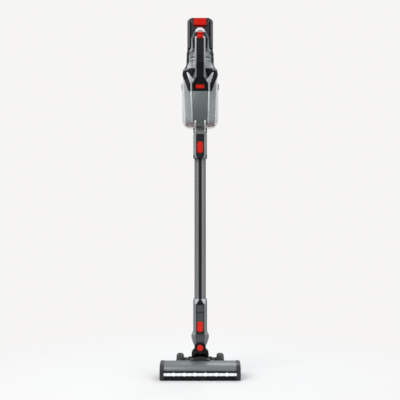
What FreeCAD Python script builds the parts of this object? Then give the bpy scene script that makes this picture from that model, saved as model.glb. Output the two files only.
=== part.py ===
import FreeCAD, Part
import math
import os
from FreeCAD import Vector

os.makedirs("parts", exist_ok=True)

# A cordless stick vacuum, standing upright.  Millimetres, +Z up, +X to the right of someone who
# faces the lamps.  The origin is on the floor, in the middle of the footprint.

# ---------------------------------------------------------------- fits and walls
GAP = 0.4               # clear space between pieces that move past each other
PIN_PLAY = 0.05         # radial running clearance of a pin in its bore
SHELL = 2.5             # wall of the moulded shells
PANEL = 2.2             # thickness of the inlaid trim panels

# ---------------------------------------------------------------- floor head
HEAD_W = 247.0
CAP_W = 12.5
HEAD_FRONT = -85.0
HEAD_REAR = 12.0
SOLE_Z = 3.0            # underside of the sole plate, level with the top of the felt strip
LIP_Z = 29.0            # joint line between the base and the cover
COVER_Z = 49.5          # top of the cover
NOSE_DEPTH = 6.0        # how far the bumper and the lamps stand in front of the front wall
LENS_Z0 = 11.3
LENS_Z1 = 23.0
BUMPER_Z = 1.2
BRUSH_Y = -48.0
BRUSH_Z = 22.0
BRISTLE_R = 19.5
CORE_R = 12.5
CHAMBER_R = 21.7
JOURNAL_R = 4.0
END_WALL = 5.0
LAMPS = 6
LAMP_PITCH = 32.4
MOTOR_Y = -8.0
MOTOR_Z = 19.0
BRUSH_MOTOR_R = 11.0
BRUSH_MOTOR_L = 55.0
PULLEY_BIG_R = 10.0
PULLEY_SMALL_R = 4.5
BELT_T = 1.2
PULLEY_W = 6.0
LATCH_L = 16.0
LATCH_TRAVEL = 4.0

# ---------------------------------------------------------------- wheels
WHEEL_R = 29.0
WHEEL_W = 23.5
WHEEL_X = 64.0
WHEEL_Y = 58.0
TYRE_T = 4.0
AXLE_R = 5.0

# ---------------------------------------------------------------- neck
TILT_Y = 27.0
TILT_Z = 42.0
BARREL_R = 19.0
BARREL_W = 54.0
TILT_PIN_R = 4.0
ARM_T = 20.0
AXIS_Y = 10.0           # the wand's axis
SWIVEL_RISE = 44.0
EAR_R = 18.0
EAR_T = 5.0
DRUM_W = 25.2
SWIVEL_PIN_R = 4.0
CAP_R = 9.5
DUCT_R = 8.0

# ---------------------------------------------------------------- elbow and collars
ELBOW_RISE = 47.0       # swivel axis to the foot of the lower collar
ELBOW_W = 55.0
COLLAR_W = 43.5
COLLAR_FRONT = 28.0     # wand axis to the collars' front face
COLLAR_BACK = 21.75
LOWER_COLLAR_L = 106.0
UPPER_COLLAR_L = 80.0
PANEL_W = 22.0
UPPER_PANEL_W = 25.0
AIR_R = 14.5

# ---------------------------------------------------------------- wand
TUBE_R = 18.0
TUBE_WALL = 1.8
TUBE_SHOWN = 441.0
TUBE_IN_LOWER = 88.0
TUBE_IN_UPPER = 20.0
GROOVE_W = 10.0
GROOVE_D = 1.6

# ---------------------------------------------------------------- press buttons
PILL_W = 18.0
PILL_H = 37.0
PILL_T = 6.5
PILL_PROUD = 1.5
PRESS = 2.0
SPRING_R = 4.0
SPRING_WIRE = 0.8

# ---------------------------------------------------------------- dust bin
INLET_H = 14.0
SPIGOT_R = 16.5
SPIGOT_L = 50.0
BIN_W = 114.0
BIN_D = 104.0
BIN_Y = 8.0
BIN_H = 158.0
BIN_R = 32.0
BIN_WALL = 2.2
CAGE_R = 43.5
CAGE_WALL = 1.8
CAGE_SLOTS = 24
FILTER_R = 33.0
FILTER_PLEATS = 30
FRONT_T = 4.0           # how far the front panel and the shield stand off the bin
FRONT_W = 45.0
FRONT_FOOT_W = 40.0
RAIL_W = 3.5

# ---------------------------------------------------------------- motor unit
SHIELD_W = 107.0
SHIELD_DROP = 47.0      # how far the apron hangs below the top of the bin
SHIELD_H = 23.0
BUTTON_W = 25.4
BUTTON_H = 12.4
HOUSING_H = 66.0
HOUSING_R = 43.0
MOTOR_R = 30.0
MOTOR_H = 40.0
FAN_R = 31.0
HANDLE_W = 32.0
GRIP_W = 22.5
GRIP_T = 5.0
HANDLE_D = 25.0
FINGER_GAP = 27.0
HANDLE_TOP_RISE = 51.0  # top of the handle above the top of the housing
TRIGGER_W = 18.5
TRIGGER_H = 19.0
FORK_X = 25.0
FORK_T = 6.0

# ---------------------------------------------------------------- battery
PACK_W = 80.0
PACK_D = 66.0
PACK_H = 92.1
PACK_FRONT = -23.0
CHEEK_T = 8.5
CELL_R = 9.1
CELL_L = 65.0
RELEASE_W = 39.0
RELEASE_H = 23.0

# ---------------------------------------------------------------- levels that follow from the sizes
SWIVEL_Z = TILT_Z + SWIVEL_RISE
LOWER_Z0 = SWIVEL_Z + ELBOW_RISE
LOWER_Z1 = LOWER_Z0 + LOWER_COLLAR_L
UPPER_Z0 = LOWER_Z1 + TUBE_SHOWN
UPPER_Z1 = UPPER_Z0 + UPPER_COLLAR_L
BIN_Z0 = UPPER_Z1 + INLET_H
BIN_Z1 = BIN_Z0 + BIN_H
HOUSING_Z0 = BIN_Z1 + SHIELD_H + GAP
HOUSING_Z1 = HOUSING_Z0 + HOUSING_H
PACK_Z0 = HOUSING_Z1 + 2.0
PACK_Z1 = PACK_Z0 + PACK_H
HANDLE_Z1 = HOUSING_Z1 + HANDLE_TOP_RISE
INNER_W = HEAD_W - 2 * CAP_W
FRONT_WALL = HEAD_FRONT + NOSE_DEPTH
HOUSING_FRONT = BIN_Y - HOUSING_R
HANDLE_BACK = HOUSING_FRONT - FINGER_GAP
HANDLE_FRONT = HANDLE_BACK - HANDLE_D


# ---------------------------------------------------------------- shape helpers
def block(x0, x1, y0, y1, z0, z1):
    return Part.makeBox(x1 - x0, y1 - y0, z1 - z0, Vector(x0, y0, z0))


def rod(radius, start, axis, length):
    return Part.makeCylinder(radius, length, Vector(*start), Vector(*axis))


def rod_x(radius, x0, x1, y, z):
    return rod(radius, (x0, y, z), (1, 0, 0), x1 - x0)


def rod_y(radius, y0, y1, x, z):
    return rod(radius, (x, y0, z), (0, 1, 0), y1 - y0)


def rod_z(radius, z0, z1, x, y):
    return rod(radius, (x, y, z0), (0, 0, 1), z1 - z0)


def prism_x(points, x0, x1):
    """A solid with the outline points (y, z), from x0 to x1."""
    corners = [Vector(x0, y, z) for y, z in points]
    face = Part.Face(Part.makePolygon(corners + corners[:1]))
    return face.extrude(Vector(x1 - x0, 0, 0))


def prism_y(points, y0, y1):
    """A solid with the outline points (x, z), from y0 to y1."""
    corners = [Vector(x, y0, z) for x, z in points]
    face = Part.Face(Part.makePolygon(corners + corners[:1]))
    return face.extrude(Vector(0, y1 - y0, 0))


def mirrored(shape):
    return shape.mirror(Vector(0, 0, 0), Vector(1, 0, 0))


def both_sides(shape):
    return [shape, mirrored(shape)]


def ring_section(width, depth, radius, y, z):
    """A closed rounded rectangle, level, centred on x = 0."""
    radius = min(radius, 0.49 * width, 0.49 * depth)
    a = width / 2 - radius
    b = depth / 2 - radius
    edges = []
    for i, (sx, sy) in enumerate([(1, 1), (-1, 1), (-1, -1), (1, -1)]):
        centre = Vector(sx * a, y + sy * b, z)
        edges.append(Part.makeCircle(radius, centre, Vector(0, 0, 1), 90 * i, 90 * i + 90))
    joined = []
    for i, arc in enumerate(edges):
        following = edges[(i + 1) % 4]
        joined.append(arc)
        joined.append(Part.makeLine(arc.Vertexes[-1].Point, following.Vertexes[0].Point))
    return Part.Wire(joined)


def column(sections):
    """A solid skinned over level sections (width, depth, corner radius, y, z)."""
    return Part.makeLoft([ring_section(*s) for s in sections], True, True)


def pill(width, height, y0, y1, z0):
    """An upright slot shape, lying along Y, with round ends."""
    r = width / 2
    body = block(-r, r, y0, y1, z0 + r, z0 + height - r)
    for z in (z0 + r, z0 + height - r):
        body = body.fuse(rod_y(r, y0, y1, 0, z))
    return body.removeSplitter()


def softened(shape, radius, wanted):
    """Round the edges for which wanted(edge) is true."""
    edges = [e for e in shape.Edges if wanted(e)]
    return shape.makeFillet(radius, edges) if edges else shape


def along_z(edge):
    box = edge.BoundBox
    return box.ZLength > 1 and box.XLength < 1e-6 and box.YLength < 1e-6


def two_circle_hull(y_a, z_a, r_a, y_b, z_b, r_b, x0, x1):
    """The outline of a belt round two pulleys, filled, from x0 to x1."""
    distance = math.hypot(y_b - y_a, z_b - z_a)
    heading = math.atan2(z_b - z_a, y_b - y_a)
    lean = math.acos((r_a - r_b) / distance)
    points = []
    for angle in (heading + lean, heading - lean):
        points.append((y_a + r_a * math.cos(angle), z_a + r_a * math.sin(angle)))
        points.append((y_b + r_b * math.cos(angle), z_b + r_b * math.sin(angle)))
    strip = prism_x([points[0], points[1], points[3], points[2]], x0, x1)
    hull = strip.fuse(rod_x(r_a, x0, x1, y_a, z_a)).fuse(rod_x(r_b, x0, x1, y_b, z_b))
    return hull.removeSplitter()


def coil_spring(y0, y1, z, turns=3):
    """A compression spring along Y, as separate closed coils that just miss each other."""
    pitch = (y1 - y0 - 2 * SPRING_WIRE) / (turns - 1)
    coils = []
    for i in range(turns):
        place = Vector(0, y0 + SPRING_WIRE + i * pitch, z)
        coils.append(Part.makeTorus(SPRING_R, 0.45 * min(SPRING_WIRE, pitch), place, Vector(0, 1, 0)))
    return Part.makeCompound(coils)


def save(name, *shapes):
    """Write a node; several shapes stay separate solids."""
    solids = [solid for shape in shapes for solid in shape.Solids]
    shape = solids[0] if len(solids) == 1 else Part.makeCompound(solids)
    shape.exportStep("parts/" + name + ".step")


# ---------------------------------------------------------------- floor head
def head_outline(grow):
    """The (y, z) outline of the head above the sole; grow moves it outwards."""
    front = HEAD_FRONT + 4.0 - grow
    rear = HEAD_REAR + grow
    top = COVER_Z + grow
    crown = BRUSH_Y
    points = [(front, LIP_Z)]
    for i in range(1, 9):
        angle = math.radians(90 * i / 8)
        points.append((crown - (crown - front) * math.cos(angle),
                       LIP_Z + (top - LIP_Z) * math.sin(angle)))
    points.append((-14.0, top - 1.5))
    points.append((rear - 3.0, top - 8.0))
    points.append((rear, top - 13.0))
    points.append((rear, LIP_Z))
    return points


def barrel_seat(extra):
    return rod_x(BARREL_R + GAP + extra, -BARREL_W / 2 - GAP, BARREL_W / 2 + GAP, TILT_Y, TILT_Z)


def make_base():
    half = INNER_W / 2
    outline = [(FRONT_WALL, SOLE_Z), (HEAD_REAR, SOLE_Z), (HEAD_REAR, LIP_Z),
               (FRONT_WALL - 3.0, LIP_Z), (FRONT_WALL - 3.0, LENS_Z1 + 0.3), (FRONT_WALL, LENS_Z1 + 0.3)]
    base = prism_x(outline, -half, half)
    inner = half - END_WALL
    base = base.cut(rod_x(CHAMBER_R, -inner, inner, BRUSH_Y, BRUSH_Z))
    base = base.cut(block(-inner, inner, BRUSH_Y - 19, BRUSH_Y + 19, SOLE_Z - 1, SOLE_Z + 6))
    # the room behind the brush, split by the two walls of the air duct
    room_y0 = BRUSH_Y + CHAMBER_R + 4.0
    room_y1 = HEAD_REAR - 4.0
    duct = 16.0
    for x0, x1 in ((-inner, -duct - SHELL), (-duct, duct), (duct + SHELL, inner)):
        base = base.cut(block(x0, x1, room_y0, room_y1, SOLE_Z + 3, LIP_Z + 1))
    base = base.cut(block(-duct, duct, BRUSH_Y + 10, room_y0 + 1, SOLE_Z + 5, LIP_Z + 1))
    # brush journals, motor shaft and the groove of the lamp board
    base = base.cut(rod_x(JOURNAL_R + 5.0, -half - 1, -inner + 1, BRUSH_Y, BRUSH_Z))
    base = base.cut(rod_x(JOURNAL_R + 5.0, inner - 1, half + 1, BRUSH_Y, BRUSH_Z))
    base = base.cut(rod_x(2.5, inner - 1, half + 1, MOTOR_Y, MOTOR_Z))
    base = base.cut(block(-half + 4, half - 4, FRONT_WALL - 1, FRONT_WALL + 2.5, LENS_Z0 + 1, LENS_Z1 - 1))
    # arms that carry the neck and the wheels
    arm_x0 = BARREL_W / 2 + GAP
    arm = prism_x([(HEAD_REAR - 4, 8), (WHEEL_Y + 8, 14), (WHEEL_Y + 14, 22), (WHEEL_Y + 14, 37),
                   (WHEEL_Y + 6, 43), (HEAD_REAR - 4, 43)], arm_x0, arm_x0 + ARM_T)
    arm = softened(arm, 2.0, lambda e: e.BoundBox.XMin > arm_x0 + ARM_T - 0.1)
    arm = arm.fuse(rod_x(TILT_PIN_R + 7.0, arm_x0, arm_x0 + 9.0, TILT_Y, TILT_Z))
    cross = block(-half, half, HEAD_REAR - 4, HEAD_REAR, SOLE_Z, LIP_Z)
    base = base.fuse([arm, mirrored(arm), cross])
    # the trough under the neck's barrel, and its air window
    trough = rod_x(BARREL_R + GAP + 3.0, -arm_x0, arm_x0, TILT_Y, TILT_Z)
    trough = trough.common(block(-arm_x0 - 1, arm_x0 + 1, HEAD_REAR - 8, TILT_Y + 14, SOLE_Z, LIP_Z))
    base = base.fuse(trough.cut(barrel_seat(0)))
    base = base.cut(block(-duct + 2, duct - 2, HEAD_REAR - 6, TILT_Y - 4, TILT_Z - 18, LIP_Z - 3))
    base = base.cut(barrel_seat(0))
    for side in (-1, 1):
        x0 = min(side * 24.0, side * (arm_x0 + 14.0))
        base = base.cut(rod_x(TILT_PIN_R, x0, x0 + arm_x0 - 10, TILT_Y, TILT_Z))
        x0 = min(side * 40.0, side * 60.0)
        base = base.cut(rod_x(AXLE_R, x0, x0 + 20, WHEEL_Y, WHEEL_R))
    return base.removeSplitter()


def make_cover():
    half = INNER_W / 2
    shell = prism_x(head_outline(0), -half, half)
    hollow = prism_x(head_outline(-SHELL), -half - 1, half + 1)
    shell = shell.cut(hollow).cut(hollow.translated(Vector(0, 0, -SHELL)))
    arm_x1 = BARREL_W / 2 + GAP + ARM_T + GAP
    shell = shell.cut(block(-arm_x1, arm_x1, HEAD_REAR - 4 - GAP, HEAD_REAR + 2, LIP_Z - 1, COVER_Z))
    shell = shell.cut(barrel_seat(3.0 + GAP))
    return shell.removeSplitter()


def make_bridge():
    """The saddle over the middle of the cover that keeps the neck's barrel down."""
    half = BARREL_W / 2
    rear = TILT_Y - BARREL_R + 1.5
    top = COVER_Z + 7.0
    saddle = prism_x([(-32, COVER_Z - 4), (-24, top - 4), (-8, top - 0.5), (4, top), (rear, top - 2.5),
                      (rear, TILT_Z), (6, TILT_Z), (6, COVER_Z - 4)], -half, half)
    saddle = softened(saddle, 2.0, lambda e: e.BoundBox.ZMin > COVER_Z + 2 and e.BoundBox.XLength < 1)
    cover = prism_x(head_outline(0.05), -half - 2, half + 2)
    saddle = saddle.cut(cover.common(block(-90, 90, -60, HEAD_REAR - 4 - GAP, 0, 100)))
    return saddle.cut(barrel_seat(0)).removeSplitter()


def cap_outline():
    front = HEAD_FRONT
    points = [(front + 3, BUMPER_Z), (front, BUMPER_Z + 5), (front, LIP_Z - 2)]
    for i in range(1, 8):
        angle = math.radians(90 * i / 7)
        points.append((BRUSH_Y - (BRUSH_Y - front) * math.cos(angle),
                       LIP_Z - 2 + (COVER_Z + 3 - LIP_Z) * math.sin(angle)))
    points += [(-12, COVER_Z - 1), (HEAD_REAR, COVER_Z - 9), (HEAD_REAR + 2, COVER_Z - 16),
               (HEAD_REAR + 2, 8), (HEAD_REAR - 4, BUMPER_Z + 1), (HEAD_REAR - 8, BUMPER_Z)]
    return points


def make_cap():
    """The end cap of the right side, with the room for the belt and the pulleys."""
    x0 = INNER_W / 2
    cap = prism_x(cap_outline(), x0, x0 + CAP_W)
    cap = softened(cap, 3.5, lambda e: e.BoundBox.XMin > x0 + CAP_W - 0.1)
    hollow = block(x0 - 1, x0 + CAP_W - 4, HEAD_FRONT + 6, BRUSH_Y - 16, BUMPER_Z + 5, LIP_Z)
    hollow = hollow.fuse(block(x0 - 1, x0 + CAP_W - 4, MOTOR_Y + 12, HEAD_REAR - 4, BUMPER_Z + 9, LIP_Z))
    return cap.cut(hollow)


def belt_room(x0, x1, extra):
    return two_circle_hull(BRUSH_Y, BRUSH_Z, PULLEY_BIG_R + BELT_T + extra,
                           MOTOR_Y, MOTOR_Z, PULLEY_SMALL_R + BELT_T + extra, x0, x1)


def make_latch_parts(cap):
    """The brush latch slides rearwards in a slot in the left cap's outer face."""
    x1 = -HEAD_W / 2
    slot = block(x1 - 1, x1 + 4, BRUSH_Y - 5, BRUSH_Y - 5 + LATCH_L + LATCH_TRAVEL + 2 * GAP, 18, 30)
    latch = block(x1, x1 + 4 - GAP, BRUSH_Y - 5 + GAP, BRUSH_Y - 5 + GAP + LATCH_L, 18 + GAP, 30 - GAP)
    latch = softened(latch, 1.2, lambda e: e.BoundBox.XMax < x1 + 0.1)
    return cap.cut(slot), latch


def make_bristles():
    """Four rows of bristles that wind a half turn along the brush."""
    half = INNER_W / 2 - END_WALL - 3
    rows = []
    steps = 8
    for row in range(4):
        wires = []
        for i in range(steps + 1):
            x = -half + 2 * half * i / steps
            turn = math.radians(90 * row + 120 * i / steps)
            out = Vector(0, math.cos(turn), math.sin(turn))
            side = Vector(0, -math.sin(turn), math.cos(turn))
            centre = Vector(x, BRUSH_Y, BRUSH_Z)
            corners = [centre + out * r + side * s
                       for r, s in ((CORE_R - 1.0, -2), (BRISTLE_R, -1.5), (BRISTLE_R, 1.5), (CORE_R - 1.0, 2))]
            wires.append(Part.makePolygon(corners + corners[:1]))
        rows.append(Part.makeLoft(wires, True, True))
    return rows


def floor_head():
    half = INNER_W / 2
    inner = half - END_WALL
    base = make_base()
    cap_right = make_cap()
    pulley_x = half + 1.5
    room = belt_room(half - 1, pulley_x + PULLEY_W + 1, 2.0)
    cap_left = mirrored(cap_right).cut(rod_x(JOURNAL_R + 1, -half - 4, -half + 1, BRUSH_Y, BRUSH_Z))
    cap_left, latch = make_latch_parts(cap_left)
    save("head_base", base)
    save("head_cover", make_cover())
    save("centre_bridge", make_bridge())
    save("end_cap_left", cap_left)
    save("end_cap_right", cap_right.cut(room))
    save("brush_latch", latch)

    bumper = block(-half, half, HEAD_FRONT, FRONT_WALL, BUMPER_Z, LENS_Z0 - 0.3)
    bumper = softened(bumper, 2.0, lambda e: e.BoundBox.XLength > 50 and e.BoundBox.YMax < HEAD_FRONT + 1)
    notch = block(-9, 9, HEAD_FRONT - 1, FRONT_WALL + 1, 0, BUMPER_Z + 3.5)
    for i in range(LAMPS):
        bumper = bumper.cut(notch.translated(Vector((i - (LAMPS - 1) / 2) * LAMP_PITCH, 0, 0)))
    save("front_bumper", bumper)

    lens = block(-half, half, HEAD_FRONT + 1.2, FRONT_WALL, LENS_Z0, LENS_Z1)
    lens = lens.cut(block(-half + 3, half - 3, HEAD_FRONT + 2.8, FRONT_WALL + 1, LENS_Z0 + 1.5, LENS_Z1 - 1.5))
    save("led_lens", lens)
    board = block(-half + 5, half - 5, FRONT_WALL, FRONT_WALL + 1.6, LENS_Z0 + 2, LENS_Z1 - 2)
    z = (LENS_Z0 + LENS_Z1) / 2
    lamps = []
    for i in range(LAMPS):
        x = (i - (LAMPS - 1) / 2) * LAMP_PITCH
        lamps.append(block(x - 2.5, x + 2.5, FRONT_WALL - 1.6, FRONT_WALL, z - 2.5, z + 2.5))
    save("led_board", board, *lamps)

    felt_y = FRONT_WALL + 1
    save("sole_felt", block(-half + 6, half - 6, felt_y, felt_y + 7, 0, SOLE_Z))
    screws = []
    for x in (-92, -40, 40, 92):
        screws.append(rod_z(3.0, SOLE_Z - 1.2, SOLE_Z, x, HEAD_REAR - 9))
    save("sole_screws", *screws)

    core = rod_x(CORE_R, -inner + 2, inner - 2, BRUSH_Y, BRUSH_Z)
    core = core.fuse(rod_x(JOURNAL_R, -half - 2.5, pulley_x + PULLEY_W, BRUSH_Y, BRUSH_Z))
    core = core.fuse(rod_x(PULLEY_BIG_R, pulley_x, pulley_x + PULLEY_W, BRUSH_Y, BRUSH_Z))
    rows = make_bristles()
    for row in rows:
        core = core.cut(row)
    save("brush_core", core.removeSplitter())
    save("brush_bristles", *rows)
    bearings = []
    for x0 in (-half + 0.5, half - 4.5):
        ring = rod_x(JOURNAL_R + 5.0, x0, x0 + 4.0, BRUSH_Y, BRUSH_Z)
        bearings.append(ring.cut(rod_x(JOURNAL_R + PIN_PLAY, x0 - 1, x0 + 5, BRUSH_Y, BRUSH_Z)))
    save("brush_bearings", *bearings)

    motor_x1 = inner - 4
    can = rod_x(BRUSH_MOTOR_R, motor_x1 - BRUSH_MOTOR_L, motor_x1, MOTOR_Y, MOTOR_Z)
    can = can.fuse(rod_x(4.0, motor_x1, motor_x1 + 2, MOTOR_Y, MOTOR_Z))
    save("brush_motor", can.cut(rod_x(1.5 + PIN_PLAY, motor_x1 - 20, motor_x1 + 3, MOTOR_Y, MOTOR_Z)))
    pulley = rod_x(1.5, motor_x1 - 19, pulley_x + PULLEY_W, MOTOR_Y, MOTOR_Z)
    pulley = pulley.fuse(rod_x(PULLEY_SMALL_R, pulley_x, pulley_x + PULLEY_W, MOTOR_Y, MOTOR_Z))
    save("motor_pulley", pulley.removeSplitter())
    belt = two_circle_hull(BRUSH_Y, BRUSH_Z, PULLEY_BIG_R + GAP + BELT_T, MOTOR_Y, MOTOR_Z,
                           PULLEY_SMALL_R + GAP + BELT_T, pulley_x + 0.5, pulley_x + PULLEY_W - 0.5)
    inside = two_circle_hull(BRUSH_Y, BRUSH_Z, PULLEY_BIG_R + GAP, MOTOR_Y, MOTOR_Z,
                             PULLEY_SMALL_R + GAP, pulley_x, pulley_x + PULLEY_W)
    save("drive_belt", belt.cut(inside))


def wheels():
    x0 = WHEEL_X - WHEEL_W / 2
    x1 = WHEEL_X + WHEEL_W / 2
    rim_r = WHEEL_R - TYRE_T
    tyre = rod_x(WHEEL_R, x0, x1, WHEEL_Y, WHEEL_R)
    tyre = softened(tyre, 3.0, lambda e: e.BoundBox.XLength < 0.1)
    tyre = tyre.cut(rod_x(rim_r, x0 - 1, x1 + 1, WHEEL_Y, WHEEL_R))
    hub = rod_x(rim_r, x0 + 1, x1 - 1, WHEEL_Y, WHEEL_R)
    dish = rod_x(rim_r - 3, x1 - 5, x1, WHEEL_Y, WHEEL_R)
    hub = hub.cut(dish.cut(rod_x(9.0, x1 - 6, x1 + 1, WHEEL_Y, WHEEL_R)))
    hub = hub.cut(rod_x(AXLE_R + PIN_PLAY, x0 - 1, x1 + 1, WHEEL_Y, WHEEL_R))
    save("wheel_tyre_right", tyre)
    save("wheel_hub_right", hub)
    save("wheel_tyre_left", mirrored(tyre))
    save("wheel_hub_left", mirrored(hub))
    axle = rod_x(AXLE_R, 40.0, x1 - 0.5, WHEEL_Y, WHEEL_R)
    axle = axle.fuse(rod_x(AXLE_R + 2.5, x1 - 1 + GAP, x1 + 1.5, WHEEL_Y, WHEEL_R))
    pin = rod_x(TILT_PIN_R, BARREL_W / 2 - 4, BARREL_W / 2 + GAP + 12, TILT_Y, TILT_Z)
    save("axles_and_pins", *both_sides(axle.removeSplitter()), *both_sides(pin))


# ---------------------------------------------------------------- neck and elbow
def ear(y0, y1, radius):
    return rod_y(radius, y0, y1, 0, SWIVEL_Z)


def drum_ends():
    return AXIS_Y - DRUM_W / 2, AXIS_Y + DRUM_W / 2


def neck():
    y0, y1 = drum_ends()
    front0, front1 = y0 - GAP - EAR_T, y0 - GAP
    back0, back1 = y1 + GAP, y1 + GAP + EAR_T
    depth = back1 - front0
    foot_y = TILT_Y - 3.0
    body = column([(BARREL_W, 22, 8, foot_y, TILT_Z + 8), (BARREL_W, 27, 9, foot_y - 1.5, TILT_Z + 20),
                   (BARREL_W - 3, depth, 9, AXIS_Y, SWIVEL_Z - 18), (2 * EAR_R - 2, depth, 9, AXIS_Y, SWIVEL_Z - 9),
                   (2 * EAR_R - 4, depth, 9, AXIS_Y, SWIVEL_Z)])
    barrel = rod_x(BARREL_R, -BARREL_W / 2, BARREL_W / 2, TILT_Y, TILT_Z)
    body = body.fuse([barrel, ear(front0, front1, EAR_R), ear(back0, back1, EAR_R)])
    # the saddle for the elbow's drum, and the air way down to the barrel
    body = body.cut(rod_y(EAR_R + GAP - 0.5, y0 - GAP, y1 + GAP, 0, SWIVEL_Z))
    body = body.cut(block(-EAR_R - 9, EAR_R + 9, y0 - GAP, y1 + GAP, SWIVEL_Z, SWIVEL_Z + EAR_R + 2))
    for side in (-1, 1):
        x = side * (EAR_R + 6)
        body = body.cut(block(min(x - 6, x + 6), max(x - 6, x + 6), y0 - 30, y1 + 30,
                              SWIVEL_Z - 7.5, SWIVEL_Z + 9))
    body = body.cut(rod(DUCT_R, (0, TILT_Y - 4, TILT_Z + 2), (0, AXIS_Y - TILT_Y + 4, SWIVEL_RISE - 2), 46))
    body = body.cut(rod_x(BARREL_R - 5.0, -16, 16, TILT_Y, TILT_Z))
    body = body.cut(block(-14, 14, TILT_Y - BARREL_R - 1, TILT_Y, TILT_Z - 16, TILT_Z - 6))
    body = body.cut(rod_x(TILT_PIN_R + PIN_PLAY, -BARREL_W / 2 - 1, -BARREL_W / 2 + 5, TILT_Y, TILT_Z))
    body = body.cut(rod_x(TILT_PIN_R + PIN_PLAY, BARREL_W / 2 - 5, BARREL_W / 2 + 1, TILT_Y, TILT_Z))
    body = body.cut(rod_y(SWIVEL_PIN_R, front0 - 1, back1 + 1, 0, SWIVEL_Z))
    save("neck_yoke", body.removeSplitter())
    front_pin = rod_y(SWIVEL_PIN_R, front0, y0 + 3.0, 0, SWIVEL_Z)
    back_pin = rod_y(SWIVEL_PIN_R, y1 - 3.0, back1, 0, SWIVEL_Z)
    save("swivel_pins", front_pin, back_pin)
    cap = rod_y(CAP_R, front0 - 2.5, front0, 0, SWIVEL_Z)
    cap = softened(cap, 1.2, lambda e: e.BoundBox.YMax < front0 - 2)
    save("swivel_cap", cap)


def elbow():
    y0, y1 = drum_ends()
    depth = y1 - y0 + 2 * (GAP + EAR_T)
    deep = COLLAR_FRONT + COLLAR_BACK
    mid_y = AXIS_Y + (COLLAR_BACK - COLLAR_FRONT) / 2
    z = SWIVEL_Z
    shell = column([(37, depth, 12, AXIS_Y, z + 6), (47, depth + 2, 13, AXIS_Y, z + 17),
                    (ELBOW_W, depth + 5, 14, AXIS_Y - 1, z + 31), (ELBOW_W, depth + 8, 14, AXIS_Y - 2, z + 38),
                    (COLLAR_W + 2, deep, 12, mid_y, z + ELBOW_RISE)])
    drum = rod_y(EAR_R - 0.5, y0, y1, 0, z)
    shell = shell.fuse(drum)
    for a, b in ((y0 - GAP - EAR_T - 4, y0), (y1, y1 + GAP + EAR_T + 4)):
        shell = shell.cut(rod_y(EAR_R + GAP, a, b, 0, z))
    shell = shell.cut(rod_y(EAR_R - 4.0, y0 + 4, y1 - 4, 0, z))
    shell = shell.cut(rod_z(DUCT_R, z - EAR_R - 1, z, 0, AXIS_Y))
    shell = shell.cut(rod_z(DUCT_R, z, z + 24, 0, AXIS_Y))
    shell = shell.cut(rod_z(AIR_R, z + 20, z + ELBOW_RISE + 1, 0, AXIS_Y))
    shell = shell.cut(rod_y(SWIVEL_PIN_R + PIN_PLAY, y0 - 1, y1 + 1, 0, z))
    panel_z0 = z + EAR_R + 3
    panel_front = mid_y - deep / 2 - 3
    room = prism_y([(-PANEL_W / 2 + 3, panel_z0), (PANEL_W / 2 - 3, panel_z0), (PANEL_W / 2, panel_z0 + 6),
                    (PANEL_W / 2, LOWER_Z0), (-PANEL_W / 2, LOWER_Z0), (-PANEL_W / 2, panel_z0 + 6)],
                   panel_front, AXIS_Y)
    skin = shell.translated(Vector(0, PANEL, 0))
    panel = shell.common(room).cut(skin)
    panel = max(panel.Solids, key=lambda s: s.Volume)
    save("elbow_shell", shell.cut(panel).removeSplitter())
    save("elbow_panel", panel)


def collar(z0, length, width, front_panel_w, panel_z0, panel_z1, pill_z0, bore, spigot_bore, split_z):
    """A rounded box round the wand's axis with a front panel and a press button in a pocket."""
    deep = COLLAR_FRONT + COLLAR_BACK
    mid_y = AXIS_Y + (COLLAR_BACK - COLLAR_FRONT) / 2
    front = AXIS_Y - COLLAR_FRONT
    z1 = z0 + length
    body = column([(width, deep, 11, mid_y, z0), (width, deep, 11, mid_y, z1 - 8),
                   (width - 3, deep - 3, 10, mid_y, z1)])
    body = body.cut(rod_z(bore, z0 - 1, split_z, 0, AXIS_Y))
    body = body.cut(rod_z(AIR_R, z0 - 1, z1 + 1, 0, AXIS_Y))
    body = body.cut(rod_z(spigot_bore, split_z + 5, z1 + 1, 0, AXIS_Y))
    panel = block(-front_panel_w / 2, front_panel_w / 2, front, front + PANEL, panel_z0, panel_z1)
    body = body.cut(panel)
    pocket_w = PILL_W + 2 * GAP
    pocket_h = PILL_H + 2 * GAP
    button_back = front - PILL_PROUD + PILL_T
    pocket = pill(pocket_w, pocket_h, front - 1, button_back + PRESS + 0.7, pill_z0 - GAP)
    body = body.cut(pocket)
    panel = panel.cut(pocket)
    button = pill(PILL_W, PILL_H, front - PILL_PROUD, button_back, pill_z0)
    button = softened(button, 1.2, lambda e: e.BoundBox.YMax < front - PILL_PROUD + 0.1)
    spring_room = rod_y(SPRING_R + 1.2, button_back - 3.5, button_back + 1, 0, pill_z0 + PILL_H / 2)
    button = button.cut(spring_room)
    spring = coil_spring(button_back - 0.8, button_back + PRESS + 0.7, pill_z0 + PILL_H / 2)
    return body.removeSplitter(), panel, button, spring


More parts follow.
